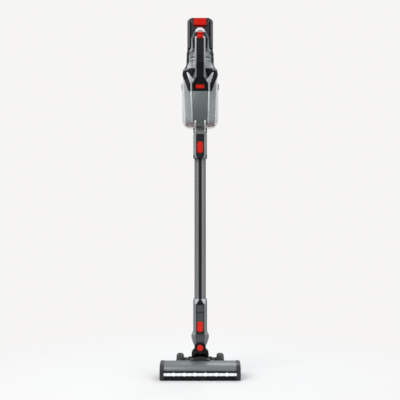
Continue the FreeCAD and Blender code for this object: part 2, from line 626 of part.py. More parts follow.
def wand():
    lower_end = LOWER_Z1 - TUBE_IN_LOWER
    upper_end = UPPER_Z0 + TUBE_IN_UPPER
    # lower collar: the tube drops in from above, so the wide bore is at its upper end
    body, panel, button, spring = collar(
        LOWER_Z0, LOWER_COLLAR_L, COLLAR_W, PANEL_W, LOWER_Z0 + 2, LOWER_Z1 - 10, LOWER_Z0 + 1,
        AIR_R, TUBE_R + GAP, lower_end - 6)
    save("lower_collar", body)
    save("lower_panel", panel)
    save("lower_button", button)
    save("lower_spring", spring)

    body, panel, button, spring = collar(
        UPPER_Z0, UPPER_COLLAR_L, COLLAR_W - 0.5, UPPER_PANEL_W, UPPER_Z0 + 4, UPPER_Z1 - 9,
        UPPER_Z0 + 15, TUBE_R, SPIGOT_R + GAP, upper_end)
    save("upper_collar", body)
    save("upper_panel", panel)
    save("upper_button", button)
    save("upper_spring", spring)

    tube = rod_z(TUBE_R, lower_end, upper_end, 0, AXIS_Y)
    groove = block(-GROOVE_W / 2, GROOVE_W / 2, AXIS_Y - TUBE_R - 1, AXIS_Y - TUBE_R + GROOVE_D,
                   LOWER_Z1 + GAP, UPPER_Z0)
    stripe = tube.common(groove)
    inner = rod_z(TUBE_R - TUBE_WALL, lower_end - 1, upper_end + 1, 0, AXIS_Y)
    bed = block(-GROOVE_W / 2 - 2, GROOVE_W / 2 + 2, AXIS_Y - TUBE_R, AXIS_Y - TUBE_R + GROOVE_D + 1.5,
                lower_end - 2, upper_end + 2)
    save("wand_tube", tube.cut(inner.cut(bed)).cut(groove))
    save("wand_stripe", stripe)


# ---------------------------------------------------------------- dust bin
def bin_levels(grow):
    """Level sections of the bin's outside; grow moves them outwards."""
    sizes = [(78, 68, 0.0), (94, 84, 4.0), (104, 94, 11.0), (BIN_W - 2, BIN_D - 2, 21.0), (BIN_W, BIN_D, 31.0),
             (BIN_W, BIN_D, BIN_H - 27.0), (SHIELD_W - 1.5, BIN_D - 5, BIN_H)]
    return [(w + 2 * grow, d + 2 * grow, BIN_R + grow, BIN_Y, BIN_Z0 + z) for w, d, z in sizes]


def front_skin(polygon, thickness):
    """A plate on the front of the bin, cut to an (x, z) outline."""
    plate = column(bin_levels(thickness)).cut(column(bin_levels(0)))
    return plate.common(prism_y(polygon, -120, BIN_Y - 10))


def symmetric(points):
    """Close an outline given for its right half, from the bottom up."""
    return points + [(-x, z) for x, z in reversed(points)]


def panel_outline():
    z0 = BIN_Z0 + 18
    z1 = BIN_Z1 - SHIELD_DROP - GAP
    return symmetric([(11, BIN_Z0 + 3), (15.5, z0 - 1), (FRONT_FOOT_W / 2, z0), (FRONT_W / 2, z1)])


def dust_bin():
    deep = COLLAR_FRONT + COLLAR_BACK
    mid_y = AXIS_Y + (COLLAR_BACK - COLLAR_FRONT) / 2
    neck_z0 = UPPER_Z1 + GAP
    inlet = column([(COLLAR_W - 1, deep - 2, 11, mid_y, neck_z0), (COLLAR_W, deep - 1, 11, mid_y, BIN_Z0)])
    inlet = inlet.fuse(rod_z(SPIGOT_R, UPPER_Z1 - SPIGOT_L, neck_z0 + 1, 0, AXIS_Y))
    inlet = inlet.fuse(rod_z(SPIGOT_R, BIN_Z0 - 1, BIN_Z0 + 16, 0, AXIS_Y))
    inlet = inlet.cut(rod_z(SPIGOT_R - SHELL, UPPER_Z1 - SPIGOT_L - 1, BIN_Z0 + 17, 0, AXIS_Y))
    save("inlet_neck", inlet.removeSplitter())

    outer = column(bin_levels(0))
    levels = bin_levels(-BIN_WALL)
    first = levels[0]
    levels[0] = first[:4] + (first[4] + BIN_WALL,)
    levels[1] = levels[1][:4] + (levels[1][4] + 1.2,)
    last = levels[-1]
    levels.append(last[:4] + (last[4] + 2,))
    shell = outer.cut(column(levels)).cut(rod_z(SPIGOT_R, BIN_Z0 - 1, BIN_Z0 + 6, 0, AXIS_Y))
    save("bin_shell", shell.removeSplitter())

    outline = panel_outline()
    panel = front_skin(outline, FRONT_T)
    save("bin_front_panel", max(panel.Solids, key=lambda s: s.Volume))
    z1 = BIN_Z1 - SHIELD_DROP - GAP
    z0 = BIN_Z0 + 12
    foot = FRONT_FOOT_W / 2 + 2.5
    top = FRONT_W / 2 + 2.0
    rail = [(foot, z0), (foot + RAIL_W, z0), (top + RAIL_W, z1), (top, z1)]
    rails = [front_skin(rail, FRONT_T + 0.6), front_skin([(-x, z) for x, z in reversed(rail)], FRONT_T + 0.6)]
    clip = block(BIN_W / 2 - 1.0, BIN_W / 2 + 1.5, BIN_Y - 12, BIN_Y + 12, BIN_Z1 - 38, BIN_Z1 - 22)
    clip = softened(clip, 1.0, lambda e: e.BoundBox.XMin > BIN_W / 2 + 1.4)
    clip = clip.cut(outer)
    save("bin_rails", *rails, *both_sides(clip))
    seal = column([(90, 80, 28, BIN_Y, BIN_Z0 + 9), (92, 82, 28, BIN_Y, BIN_Z0 + 12)])
    hole = column([(82, 72, 26, BIN_Y, BIN_Z0 + 8), (82, 72, 26, BIN_Y, BIN_Z0 + 13)])
    save("bin_seal", seal.cut(hole))


# ---------------------------------------------------------------- motor unit
def shield_outline():
    low = BIN_Z1 - SHIELD_DROP
    return symmetric([(33, low), (37, low + 3), (SHIELD_W / 2 - 0.5, low + 48), (SHIELD_W / 2 + 3, low + 56),
                      (SHIELD_W / 2 + 3, HOUSING_Z0)])


def shield_and_trim():
    low = BIN_Z1 - SHIELD_DROP
    top = HOUSING_Z0
    ring_z0 = BIN_Z1 + GAP
    ring = column([(SHIELD_W, BIN_D - 2, BIN_R, BIN_Y, ring_z0), (SHIELD_W, BIN_D - 2, BIN_R, BIN_Y, top - 8),
                   (SHIELD_W - 3, BIN_D - 6, BIN_R, BIN_Y, top)])
    bore = column([(SHIELD_W - 9, BIN_D - 11, BIN_R - 4, BIN_Y, ring_z0 - 1),
                   (SHIELD_W - 9, BIN_D - 11, BIN_R - 4, BIN_Y, top + 1)])
    ring = ring.cut(bore)
    full, taper, last = bin_levels(FRONT_T)[-3:]
    levels = [full[:4] + (low,), taper, last, (SHIELD_W,) + last[1:4] + (top,)]
    hug = column(bin_levels(GAP + 0.1))
    apron = column(levels).cut(hug).cut(bore)
    apron = apron.common(prism_y(shield_outline(), -120, BIN_Y - 10))
    shield = ring.fuse(apron)
    # the silver struts, let into the apron
    strut = [(24.5, low), (24.5, low + 31), (42.0, top - 3), (47.5, top - 3), (28.5, low + 29), (28.5, low)]
    branch = [(HANDLE_W / 2 - 1.5, low + 39), (24.5, low + 26), (24.5, low + 30.5), (HANDLE_W / 2 + 1.5, low + 41)]
    trims = []
    for outline in (strut, branch):
        for points in (outline, [(-x, z) for x, z in reversed(outline)]):
            trims.append(prism_y(points, -120, BIN_Y - 10))
    trim = trims[0].fuse(trims[1:])
    full_body = column(levels)
    trim = trim.common(full_body.translated(Vector(0, -0.8, 0)))
    trim = trim.cut(full_body.translated(Vector(0, 1.8, 0)))
    button_z = low + 14
    room = block(-BUTTON_W / 2 - GAP, BUTTON_W / 2 + GAP, -120, BIN_Y - BIN_D / 2,
                 button_z - BUTTON_H / 2 - GAP, button_z + BUTTON_H / 2 + GAP)
    shield = shield.cut(trim).cut(room)
    return shield.removeSplitter(), trim


def bin_button():
    low = BIN_Z1 - SHIELD_DROP
    button_z = low + 14
    front = BIN_Y - BIN_D / 2 - FRONT_T - 1.2
    button = block(-BUTTON_W / 2, BUTTON_W / 2, front, front + 3.2,
                   button_z - BUTTON_H / 2, button_z + BUTTON_H / 2)
    return softened(button, 1.0, lambda e: e.BoundBox.YMax < front + 0.1)


def housing():
    z0 = HOUSING_Z0
    z1 = HOUSING_Z1
    d = 2 * HOUSING_R
    outer = column([(SHIELD_W - 3, BIN_D - 7, BIN_R, BIN_Y, z0), (d + 4, d + 3, 38, BIN_Y, z0 + 13),
                    (d, d, 41, BIN_Y, z0 + 22), (d, d, 41, BIN_Y, z0 + 40), (d - 1, d - 1, 41, BIN_Y, z0 + 42),
                    (d - 1, d - 1, 41, BIN_Y, z0 + 52), (d - 6, d - 8, 38, BIN_Y, z1)])
    inner = column([(SHIELD_W - 10, BIN_D - 14, BIN_R - 3, BIN_Y, z0 - 1),
                    (d - 4, d - 5, 37, BIN_Y, z0 + 13), (d - 6, d - 6, 37, BIN_Y, z0 + 22),
                    (d - 6, d - 6, 37, BIN_Y, z1 - 14), (d - 14, d - 16, 34, BIN_Y, z1 - 3)])
    shell = outer.cut(inner)
    split = BIN_Y - 6
    front = shell.common(block(-80, 80, -120, split, z0 - 5, z1 + 5))
    rear = shell.common(block(-80, 80, split, 120, z0 - 5, z1 + 5))
    # exhaust slots round the back
    for i in range(9):
        angle = math.radians(90 + (i - 4) * 15)
        slot = block(-1.6, 1.6, HOUSING_R - 12, HOUSING_R + 8, z0 + 24, z0 + 48)
        slot.rotate(Vector(0, 0, 0), Vector(0, 0, 1), math.degrees(angle) - 90)
        rear = rear.cut(slot.translated(Vector(0, BIN_Y, 0)))
    return front.removeSplitter(), rear.removeSplitter()


def handle_outline(inset):
    """The (y, z) outline of the handle, foot at the shield; inset moves the front inwards."""
    front = HANDLE_FRONT + inset
    low = BIN_Z1 - SHIELD_DROP
    plate = BIN_Y - BIN_D / 2 - FRONT_T
    back = HANDLE_BACK
    top = HANDLE_Z1
    return [(plate, low + 24), (plate - 3 + inset, low + 26), (plate - 10 + inset, low + 40),
            (front + 9, low + 62), (front + 2, low + 82), (front, low + 105), (front, top - 30),
            (front + 3, top - 14), (front + 9, top - 5), (front + 18, top - inset),
            (back + 8, top - inset), (back + 12, top - 4), (back + 12, top - 13), (back + 2, top - 17),
            (back, top - 30), (back, HOUSING_Z0 + 30), (back + 3, HOUSING_Z0 + 17),
            (back + 10, HOUSING_Z0 + 9), (HOUSING_FRONT - 2, HOUSING_Z0 + 7),
            (HOUSING_FRONT - 8, HOUSING_Z0 - 2), (plate, HOUSING_Z0 - 4)]


def handle(front_housing, shield):
    half = HANDLE_W / 2
    body = prism_x(handle_outline(0), -half, half)
    body = softened(body, 3.0, lambda e: e.BoundBox.XLength < 0.1 and e.BoundBox.ZMax > HOUSING_Z0 + 12)
    low = BIN_Z1 - SHIELD_DROP
    trigger_z1 = HOUSING_Z1 + 37
    trigger_z0 = trigger_z1 - TRIGGER_H
    # the grip is a layer let into the front of the frame, from the shield up to the trigger
    inner_line = handle_outline(GRIP_T)[1:7]
    layer = prism_x([(-200, inner_line[0][1])] + inner_line + [(-200, inner_line[-1][1])],
                    -GRIP_W / 2, GRIP_W / 2)
    grip = body.common(layer).common(block(-GRIP_W, GRIP_W, -200, 0, low, trigger_z0 - GAP))
    grip = grip.cut(front_housing).cut(shield)
    grip = max(grip.Solids, key=lambda s: s.Volume)
    frame = body.cut(grip)
    # the fork that reaches back from the top and cradles the pack
    arm_y0 = PACK_FRONT - GAP - 11
    arm_y1 = PACK_FRONT - 2 * GAP
    bend_z = HOUSING_Z1 + 28
    root_z = HANDLE_Z1 - 4
    path = [(half - 3, HANDLE_BACK + 9, root_z), (FORK_X, arm_y0 + 4, bend_z), (FORK_X, arm_y0 + 4, HOUSING_Z1 - 8)]
    wires = []
    for x, y, z in path:
        corners = [Vector(x - FORK_T / 2, y - 5, z), Vector(x + FORK_T / 2, y - 5, z),
                   Vector(x + FORK_T / 2, y + 5, z), Vector(x - FORK_T / 2, y + 5, z)]
        wires.append(Part.makePolygon(corners + corners[:1]))
    arm = Part.makeLoft(wires, True, True)
    arm = arm.common(block(0, 60, -200, arm_y1, 0, 3000))
    for side_arm in both_sides(arm):
        frame = frame.fuse(side_arm)
    frame = frame.cut(front_housing).cut(shield)
    frame = max(frame.Solids, key=lambda s: s.Volume)
    room = block(-TRIGGER_W / 2 - GAP, TRIGGER_W / 2 + GAP, HANDLE_FRONT - 5, HANDLE_FRONT + 12,
                 trigger_z0 - GAP, trigger_z1 + GAP)
    frame = frame.cut(room)
    grip = grip.cut(room)
    # a core hole inside the upright part keeps the handle light
    core_front = HANDLE_FRONT + GRIP_T + SHELL
    core = block(SHELL - half, half - SHELL, core_front, HANDLE_BACK - SHELL, low + 85, trigger_z0 - 4)
    frame = frame.cut(core)
    trigger = prism_x([(HANDLE_FRONT + 8.5, trigger_z0), (HANDLE_FRONT - 0.0, trigger_z0),
                       (HANDLE_FRONT - 0.0, trigger_z0 + 8), (HANDLE_FRONT + 1.2, trigger_z1 - 5),
                       (HANDLE_FRONT + 3.0, trigger_z1), (HANDLE_FRONT + 8.5, trigger_z1)],
                      -TRIGGER_W / 2, TRIGGER_W / 2)
    return frame.removeSplitter(), grip, trigger


def motor_unit():
    shield, trim = shield_and_trim()
    front, rear = housing()
    frame, grip, trigger = handle(front, shield)
    save("shield", shield)
    save("shield_trim", trim)
    save("housing_front", front)
    save("housing_rear", rear)
    save("handle_frame", frame)
    save("handle_grip", grip)
    save("trigger", trigger)
    save("bin_button", bin_button())

    cage_z0 = BIN_Z0 + 26
    cage_z1 = BIN_Z1 + 8
    cage = rod_z(CAGE_R, cage_z0, cage_z1, 0, BIN_Y)
    cage = softened(cage, 5.0, lambda e: e.BoundBox.ZMax < cage_z0 + 0.1)
    cage = cage.cut(rod_z(CAGE_R - CAGE_WALL, cage_z0 + 6, cage_z1 + 1, 0, BIN_Y))
    slots = []
    for i in range(CAGE_SLOTS):
        slot = block(-1.4, 1.4, CAGE_R - 4, CAGE_R + 2, cage_z0 + 14, cage_z0 + 84)
        slot.rotate(Vector(0, 0, 0), Vector(0, 0, 1), 360 * (i + 0.5) / CAGE_SLOTS)
        slots.append(slot.translated(Vector(0, BIN_Y, 0)))
    save("cyclone_cage", cage.cut(Part.makeCompound(slots)))

    corners = []
    for i in range(2 * FILTER_PLEATS):
        radius = FILTER_R if i % 2 == 0 else FILTER_R - 6
        angle = math.pi * i / FILTER_PLEATS
        corners.append(Vector(radius * math.cos(angle), BIN_Y + radius * math.sin(angle), cage_z0 + 10))
    pleats = Part.Face(Part.makePolygon(corners + corners[:1])).extrude(Vector(0, 0, 100))
    save("pleated_filter", pleats.cut(rod_z(FILTER_R - 9, cage_z0 + 18, cage_z0 + 120, 0, BIN_Y)))

    motor_z0 = HOUSING_Z0 + 6
    can = rod_z(MOTOR_R, motor_z0, motor_z0 + MOTOR_H, 0, BIN_Y)
    shaft_bore = rod_z(4 + PIN_PLAY, motor_z0 - 1, motor_z0 + 25, 0, BIN_Y)
    save("suction_motor", can.cut(shaft_bore))
    fan_z1 = motor_z0 - 2
    fan = rod_z(FAN_R, fan_z1 - 2, fan_z1, 0, BIN_Y)
    hub = Part.makeCone(14, 6, 12, Vector(0, BIN_Y, fan_z1 - 14), Vector(0, 0, 1))
    fan = fan.fuse([hub, rod_z(4, fan_z1 - 1, motor_z0 + 20, 0, BIN_Y)])
    for i in range(9):
        blade = block(9, FAN_R - 1, -0.7, 0.7, fan_z1 - 9, fan_z1 - 1)
        blade.rotate(Vector(0, 0, 0), Vector(0, 0, 1), 40 * i)
        fan = fan.fuse(blade.translated(Vector(0, BIN_Y, 0)))
    save("impeller", fan.removeSplitter())
    board_z = motor_z0 + MOTOR_H + 2
    save("control_board", block(-22, 22, BIN_Y - 20, BIN_Y + 20, board_z, board_z + 1.6))
    contacts = []
    for x in (-14, 0, 14):
        contacts.append(block(x - 1.5, x + 1.5, BIN_Y - 5, BIN_Y + 5, HOUSING_Z1, HOUSING_Z1 + 1.4))
    save("battery_contacts", *contacts)


# ---------------------------------------------------------------- battery
def battery():
    z0 = PACK_Z0
    z1 = PACK_Z1
    y0 = PACK_FRONT
    y1 = PACK_FRONT + PACK_D
    inner = PACK_W / 2 - CHEEK_T
    case = prism_y([(-inner, z0), (inner, z0), (inner, z1 - 4), (inner - 5, z1), (5 - inner, z1),
                    (-inner, z1 - 4)], y0, y1)
    case = softened(case, 5.0, lambda e: along_z(e) and e.BoundBox.YMin > y1 - 0.1)
    cells = []
    pitch = 2 * CELL_R + 0.8
    mid_y = y0 + PACK_D / 2 + 3
    for ix in (-1, 0, 1):
        for iy in (-0.5, 0.5):
            cells.append(rod_z(CELL_R, z0 + 6, z0 + 6 + CELL_L, ix * pitch, mid_y + iy * pitch))
    case = case.cut(block(-29, 29, mid_y - pitch - 0.4, mid_y + pitch + 0.4, z0 + 4, z0 + 8 + CELL_L))
    cheek = prism_y([(inner, z0), (PACK_W / 2, z0), (PACK_W / 2, z1 - 10), (PACK_W / 2 - 5, z1 - 4),
                     (inner, z1 - 1.5)], y0 + 3, y1 - 3)
    cheek = softened(cheek, 2.5, lambda e: along_z(e) and e.BoundBox.XMin > PACK_W / 2 - 0.1)
    half = RELEASE_W / 2
    room = block(-half - GAP, half + GAP, y0 - 1, y0 + 9, z1 - RELEASE_H - 3.5, z1 + 1)
    release = block(-half, half, y0 - 5, y0 + 6, z1 - RELEASE_H - 1, z1 - 0.5)
    release = softened(release, 2.5, lambda e: e.BoundBox.YMax < y0 - 4.9)
    save("battery_case", case.cut(room))
    save("battery_cheeks", *both_sides(cheek))
    save("battery_cells", *cells)
    save("battery_latch", release)


floor_head()
wheels()
neck()
elbow()
wand()
dust_bin()
motor_unit()
battery()
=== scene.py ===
import math

import bmesh
import bpy
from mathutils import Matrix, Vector


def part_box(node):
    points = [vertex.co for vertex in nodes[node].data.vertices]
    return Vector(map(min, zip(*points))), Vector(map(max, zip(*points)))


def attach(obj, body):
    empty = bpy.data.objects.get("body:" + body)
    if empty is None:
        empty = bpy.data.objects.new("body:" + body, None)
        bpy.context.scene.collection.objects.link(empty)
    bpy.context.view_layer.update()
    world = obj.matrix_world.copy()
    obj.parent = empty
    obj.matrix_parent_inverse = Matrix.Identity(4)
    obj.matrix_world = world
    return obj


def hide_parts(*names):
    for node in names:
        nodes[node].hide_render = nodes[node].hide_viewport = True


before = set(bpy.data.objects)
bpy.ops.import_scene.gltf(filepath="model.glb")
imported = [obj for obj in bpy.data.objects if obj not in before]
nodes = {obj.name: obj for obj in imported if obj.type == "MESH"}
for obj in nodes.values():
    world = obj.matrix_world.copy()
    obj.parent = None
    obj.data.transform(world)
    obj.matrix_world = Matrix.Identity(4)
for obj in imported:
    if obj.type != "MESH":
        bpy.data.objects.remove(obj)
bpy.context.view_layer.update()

# ------------------------------------------------------------------ the studio
# A pale floor that fades into an even backdrop, a wide soft key from the upper left, a weaker fill
# from the right and a strip behind, with the camera level at mid height in front of the lamps.
wand_y = (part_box("wand_tube")[0].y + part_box("wand_tube")[1].y) / 2


class Shade:
    """One socket of a material's tree; sums and products of sockets become Math nodes."""

    def __init__(self, tree, socket=None):
        self.tree = tree
        self.socket = socket

    def make(self, kind, settings=None, values=None, output=0):
        """Add a node: its settings first, then the values or links of its sockets."""
        node = self.tree.nodes.new(kind)
        for name, value in (settings or {}).items():
            if name == "stops":
                ramp = node.color_ramp
                while len(ramp.elements) < len(value):
                    ramp.elements.new(0.5)
                for element, (place, colour) in zip(ramp.elements, value):
                    element.position = place
                    element.color = (*colour, 1) if len(colour) == 3 else colour
            else:
                setattr(node, name, value)
        for name, value in (values or {}).items():
            if isinstance(value, Shade):
                self.tree.links.new(value.socket, node.inputs[name])
            else:
                node.inputs[name].default_value = value
        return Shade(self.tree, node.outputs[output])

    def sum_up(self, operation, first, second, clamp=False):
        """A Math node on two values or sockets."""
        settings = {"operation": operation, "use_clamp": clamp}
        return self.make("ShaderNodeMath", settings, {0: first, 1: second})

    def __add__(self, other):
        return self.sum_up("ADD", self, other)

    __radd__ = __add__

    def __sub__(self, other):
        return self.sum_up("SUBTRACT", self, other)

    def __rsub__(self, other):
        return self.sum_up("SUBTRACT", other, self)

    def __mul__(self, other):
        return self.sum_up("MULTIPLY", self, other)

    __rmul__ = __mul__

    def __pow__(self, other):
        return self.sum_up("POWER", self, other)

    def over(self, other):
        """1 where this is larger than other, else 0."""
        return self.sum_up("GREATER_THAN", self, other)

    def clamped(self):
        """This, held between 0 and 1."""
        return self.sum_up("ADD", self, 0.0, clamp=True)

    def wave(self):
        """The sine of this, in radians."""
        return self.make("ShaderNodeMath", {"operation": "SINE"}, {0: self})

    def size(self):
        """This without its sign."""
        return self.make("ShaderNodeMath", {"operation": "ABSOLUTE"}, {0: self})

    def tint(self, low, high):
        """A colour that goes from low, where this is 0, to high, where it is 1."""
        return self.make("ShaderNodeMix", {"data_type": "RGBA"},
                         {0: self, 6: (*low, 1) if isinstance(low, tuple) else low,
                          7: (*high, 1) if isinstance(high, tuple) else high}, output=2)


def new_finish(name):
    """A material with an empty tree: returns it with its place coordinates and a Shade to build with."""
    material = bpy.data.materials.new(name)
    material.use_nodes = True
    tree = material.node_tree
    tree.nodes.clear()
    shade = Shade(tree)
    place = shade.make("ShaderNodeTexCoord", output=3)
    return material, shade, place


def surface(material, shade, values):
    """Close a material with a Principled surface of these socket values."""
    skin = shade.make("ShaderNodeBsdfPrincipled", None, values)
    out = shade.tree.nodes.new("ShaderNodeOutputMaterial")
    shade.tree.links.new(skin.socket, out.inputs[0])
    return material


def noise(shade, place, scale, detail=3.0, roughness=0.55):
    """Soft cloudy noise between 0 and 1."""
    return shade.make("ShaderNodeTexNoise", None,
                      {"Vector": place, "Scale": scale, "Detail": detail, "Roughness": roughness})


def pale_floor():
    """Matt white, opaque under the head and gone a metre away from it."""
    material, shade, place = new_finish("pale_floor")
    apart = shade.make("ShaderNodeSeparateXYZ", None, {0: place})
    x = apart
    y = Shade(shade.tree, apart.socket.node.outputs[1])
    radius = (x * x + y * y) ** 0.5
    cover_at_centre, cover_lost_per_metre = 1.6, 1.7
    here = (cover_at_centre - radius * cover_lost_per_metre).clamped()
    mottle = noise(shade, place, 3.0)
    colour = mottle.tint((0.705, 0.698, 0.690), (0.725, 0.718, 0.710))
    matt = shade.make("ShaderNodeBsdfDiffuse", None, {"Color": colour})
    clear = shade.make("ShaderNodeBsdfTransparent")
    mixed = shade.make("ShaderNodeMixShader", None, {0: here, 1: clear, 2: matt})
    out = shade.tree.nodes.new("ShaderNodeOutputMaterial")
    shade.tree.links.new(mixed.socket, out.inputs[0])
    return material


def keep(name, bm, material):
    """Turn a bmesh into a finished object with smooth faces, and corners sharp from 35 degrees."""
    bmesh.ops.remove_doubles(bm, verts=bm.verts, dist=1e-6)
    bmesh.ops.recalc_face_normals(bm, faces=bm.faces)
    mesh = bpy.data.meshes.new(name)
    bm.to_mesh(mesh)
    bm.free()
    piece = bpy.data.objects.new(name, mesh)
    bpy.context.scene.collection.objects.link(piece)
    mesh.materials.append(material)
    mesh.polygons.foreach_set("use_smooth", [True] * len(mesh.polygons))
    mesh.set_sharp_from_angle(angle=math.radians(35))
    return piece


floor_r = 1.2
floor_disc = bmesh.new()
bmesh.ops.create_circle(floor_disc, cap_ends=True, segments=64, radius=floor_r)
for face in floor_disc.faces:
    if face.normal.z < 0:
        face.normal_flip()
floor = keep("floor", floor_disc, pale_floor())

world = bpy.data.worlds.new("studio")
bpy.context.scene.world = world
world.use_nodes = True
sky = Shade(world.node_tree)
world.node_tree.nodes.clear()
backdrop_white = (0.922, 0.914, 0.905, 1)
cool_white = (0.94, 0.97, 1.0, 1)
level_light, light_gain_upwards = 0.24, 1.05
seen = sky.make("ShaderNodeLightPath", output=0)
backdrop = sky.make("ShaderNodeBackground", None, {"Color": backdrop_white, "Strength": 1.0})
heading = sky.make("ShaderNodeSeparateXYZ", None, {0: sky.make("ShaderNodeTexCoord", output=0)})
up = Shade(world.node_tree, heading.socket.node.outputs[2])
sky_strength = (up * light_gain_upwards + level_light).clamped()
ambient = sky.make("ShaderNodeBackground", None, {"Color": cool_white, "Strength": sky_strength})
both = sky.make("ShaderNodeMixShader", None, {0: seen, 1: ambient, 2: backdrop})
world_out = world.node_tree.nodes.new("ShaderNodeOutputWorld")
world.node_tree.links.new(both.socket, world_out.inputs[0])


def softbox(name, place, aim_z, size, power):
    """A rectangular lamp that points at the object's axis at height aim_z."""
    data = bpy.data.lights.new(name, "AREA")
    data.shape = "RECTANGLE"
    data.size, data.size_y = size
    data.energy = power
    lamp = bpy.data.objects.new(name, data)
    bpy.context.scene.collection.objects.link(lamp)
    lamp.location = place
    towards = Vector((0, 0, aim_z)) - Vector(place)
    lamp.rotation_euler = towards.to_track_quat("-Z", "Y").to_euler()


softbox("key", place=(-1.5, -1.7, 2.4), aim_z=0.55, size=(1.8, 2.0), power=46)
softbox("fill", place=(2.2, -1.6, 1.3), aim_z=0.55, size=(1.6, 2.2), power=15)
softbox("rim", place=(0.6, 1.8, 2.2), aim_z=0.7, size=(1.6, 1.0), power=22)

camera_x, camera_distance, camera_z = -0.0005, 2.5, 0.549
camera = bpy.data.objects.new("camera", bpy.data.cameras.new("camera"))
bpy.context.scene.collection.objects.link(camera)
camera.data.lens = 71.4
camera.data.sensor_width = 36.0
camera.location = (camera_x, wand_y - camera_distance, camera_z)
camera.rotation_euler = (math.radians(90), 0, 0)
bpy.context.scene.camera = camera
bpy.context.scene.view_settings.view_transform = "Standard"

# ------------------------------------------------------------------ the floor head
# A low moulded box: a black base with the sole and two rear arms, a glossy grey cover with a soft
# crown snapped over it, and dark end caps screwed on. All are injection-moulded plastic.
cloud_scale = 16.0
grain_height = 0.00015
settled_dust = (0.34, 0.33, 0.31)


def moulded(name, colour, rough=0.42, shift=0.10, grain=0.25, fine=700.0, metallic=0.0, coat=0.0,
            dust=0.0, shine=0.5):
    """Moulded plastic: faint cloudiness, a fine grain, and a gloss that wanders where hands rub it."""
    material, shade, place = new_finish(name)
    cloud = noise(shade, place, cloud_scale, 4.0)
    tooth = noise(shade, place, fine, 2.0)
    deep = tuple(c * (1 - shift) for c in colour)
    light = tuple(min(1.0, c * (1 + shift)) for c in colour)
    tone = cloud.tint(deep, light)
    if dust:
        settled = ((noise(shade, place, 45.0, 5.0) - 0.52) * 6.0).clamped() * dust
        tone = settled.tint(tone, settled_dust)
    gloss = (rough + (cloud - 0.5) * 0.22 + (tooth - 0.5) * 0.10).clamped()
    bumped = shade.make("ShaderNodeBump", None,
                        {"Strength": grain, "Distance": grain_height, "Height": tooth})
    return surface(material, shade, {"Base Color": tone, "Roughness": gloss, "Normal": bumped,
                                     "Metallic": metallic, "Coat Weight": coat, "Coat Roughness": 0.12,
                                     "Specular IOR Level": shine})


def painted(name, colour, marks, rough=0.38, metallic=0.0, front=None, shine=0.4):
    """A moulding whose front has sharp-edged areas of other colours.

    marks(x, z) takes the distance from the middle plane and the height, and gives pairs of area and
    colour. The front is what lies before the plane y = front.
    """
    material, shade, place = new_finish(name)
    apart = shade.make("ShaderNodeSeparateXYZ", None, {0: place})
    y = Shade(shade.tree, apart.socket.node.outputs[1])
    z = Shade(shade.tree, apart.socket.node.outputs[2])
    cloud = noise(shade, place, cloud_scale, 4.0)
    tooth = noise(shade, place, 900.0, 2.0)
    tone = cloud.tint(tuple(c * 0.93 for c in colour), tuple(c * 1.07 for c in colour))
    facing_front = 1 - y.over(wand_y if front is None else front)
    for area, other in marks(apart.size(), z):
        tone = (area * facing_front).tint(tone, other)
    gloss = rough + (cloud - 0.5) * 0.2 + (tooth - 0.5) * 0.1
    bumped = shade.make("ShaderNodeBump", None,
                        {"Strength": 0.15, "Distance": grain_height, "Height": tooth})
    return surface(material, shade, {"Base Color": tone, "Roughness": gloss, "Normal": bumped,
                                     "Metallic": metallic, "Specular IOR Level": shine})


def within(value, low, high):
    """1 where the value lies between low and high, else 0."""
    return value.over(low) * (1 - value.over(high))


def dress(material, *names):
    """Give CAD nodes a finish in place of their plain one."""
    for name in names:
        nodes[name].material_slots[0].material = material


def ease(bm, width, steps=2, angle=25.0, only=None):
    """Round every edge sharper than the angle, as a mould's parting radius does."""
    limit = math.radians(angle)
    edges = [e for e in bm.edges if e.is_manifold and e.calc_face_angle(0) > limit]
    if only is not None:
        edges = [e for e in edges if only(e)]
    bmesh.ops.bevel(bm, geom=edges, offset=width, segments=steps, profile=0.5, material=-1,
                    affect="EDGES", clamp_overlap=True)


def extruded(corners, push):
    """A bmesh with a face through a few corners, pushed out along a vector into a solid."""
    bm = bmesh.new()
    face = bm.faces.new([bm.verts.new(c) for c in corners])
    moved = bmesh.ops.extrude_face_region(bm, geom=[face])["geom"]
    tops = [v for v in moved if isinstance(v, bmesh.types.BMVert)]
    bmesh.ops.translate(bm, vec=push, verts=tops)
    bmesh.ops.recalc_face_normals(bm, faces=bm.faces)
    return bm


def across(points, left, right):
    """A solid with the outline points (y, z), from left to right."""
    return extruded([(left, y, z) for y, z in points], (right - left, 0, 0))


def facing(points, front, back):
    """A solid with the outline points (x, z), from front to back."""
    return extruded([(x, front, z) for x, z in points], (0, back - front, 0))


def join(target, *others):
    """Add other bmeshes to the first."""
    for other in others:
        spare = bpy.data.meshes.new("spare")
        other.to_mesh(spare)
        other.free()
        target.from_mesh(spare)
        bpy.data.meshes.remove(spare)
    return target


def fit(piece, body, slot, *hidden):
    """Tie a finished piece to its body, in place of the hidden CAD nodes; the slot is not used."""
    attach(piece, body)
    if hidden:
        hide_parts(*hidden)
    return piece


def both_hands(make):
    """The same piece made for the right and the left."""
    return join(make(1), make(-1))


base_black = moulded("base_black", (0.006, 0.0065, 0.007), rough=0.42, dust=0.05, shine=0.18)
cap_grey = moulded("cap_grey", (0.024, 0.026, 0.028), rough=0.36, shine=0.3)
cover_grey = moulded("cover_grey", (0.150, 0.165, 0.165), rough=0.40, grain=0.08, metallic=0.30)
bumper_black = moulded("bumper_black", (0.006, 0.007, 0.008), rough=0.45, dust=0.03, shine=0.12)
steel = moulded("turned_steel", (0.55, 0.55, 0.56), rough=0.32, fine=1500.0, metallic=1.0)
dress(base_black, "head_base")
dress(cap_grey, "end_cap_left", "end_cap_right")

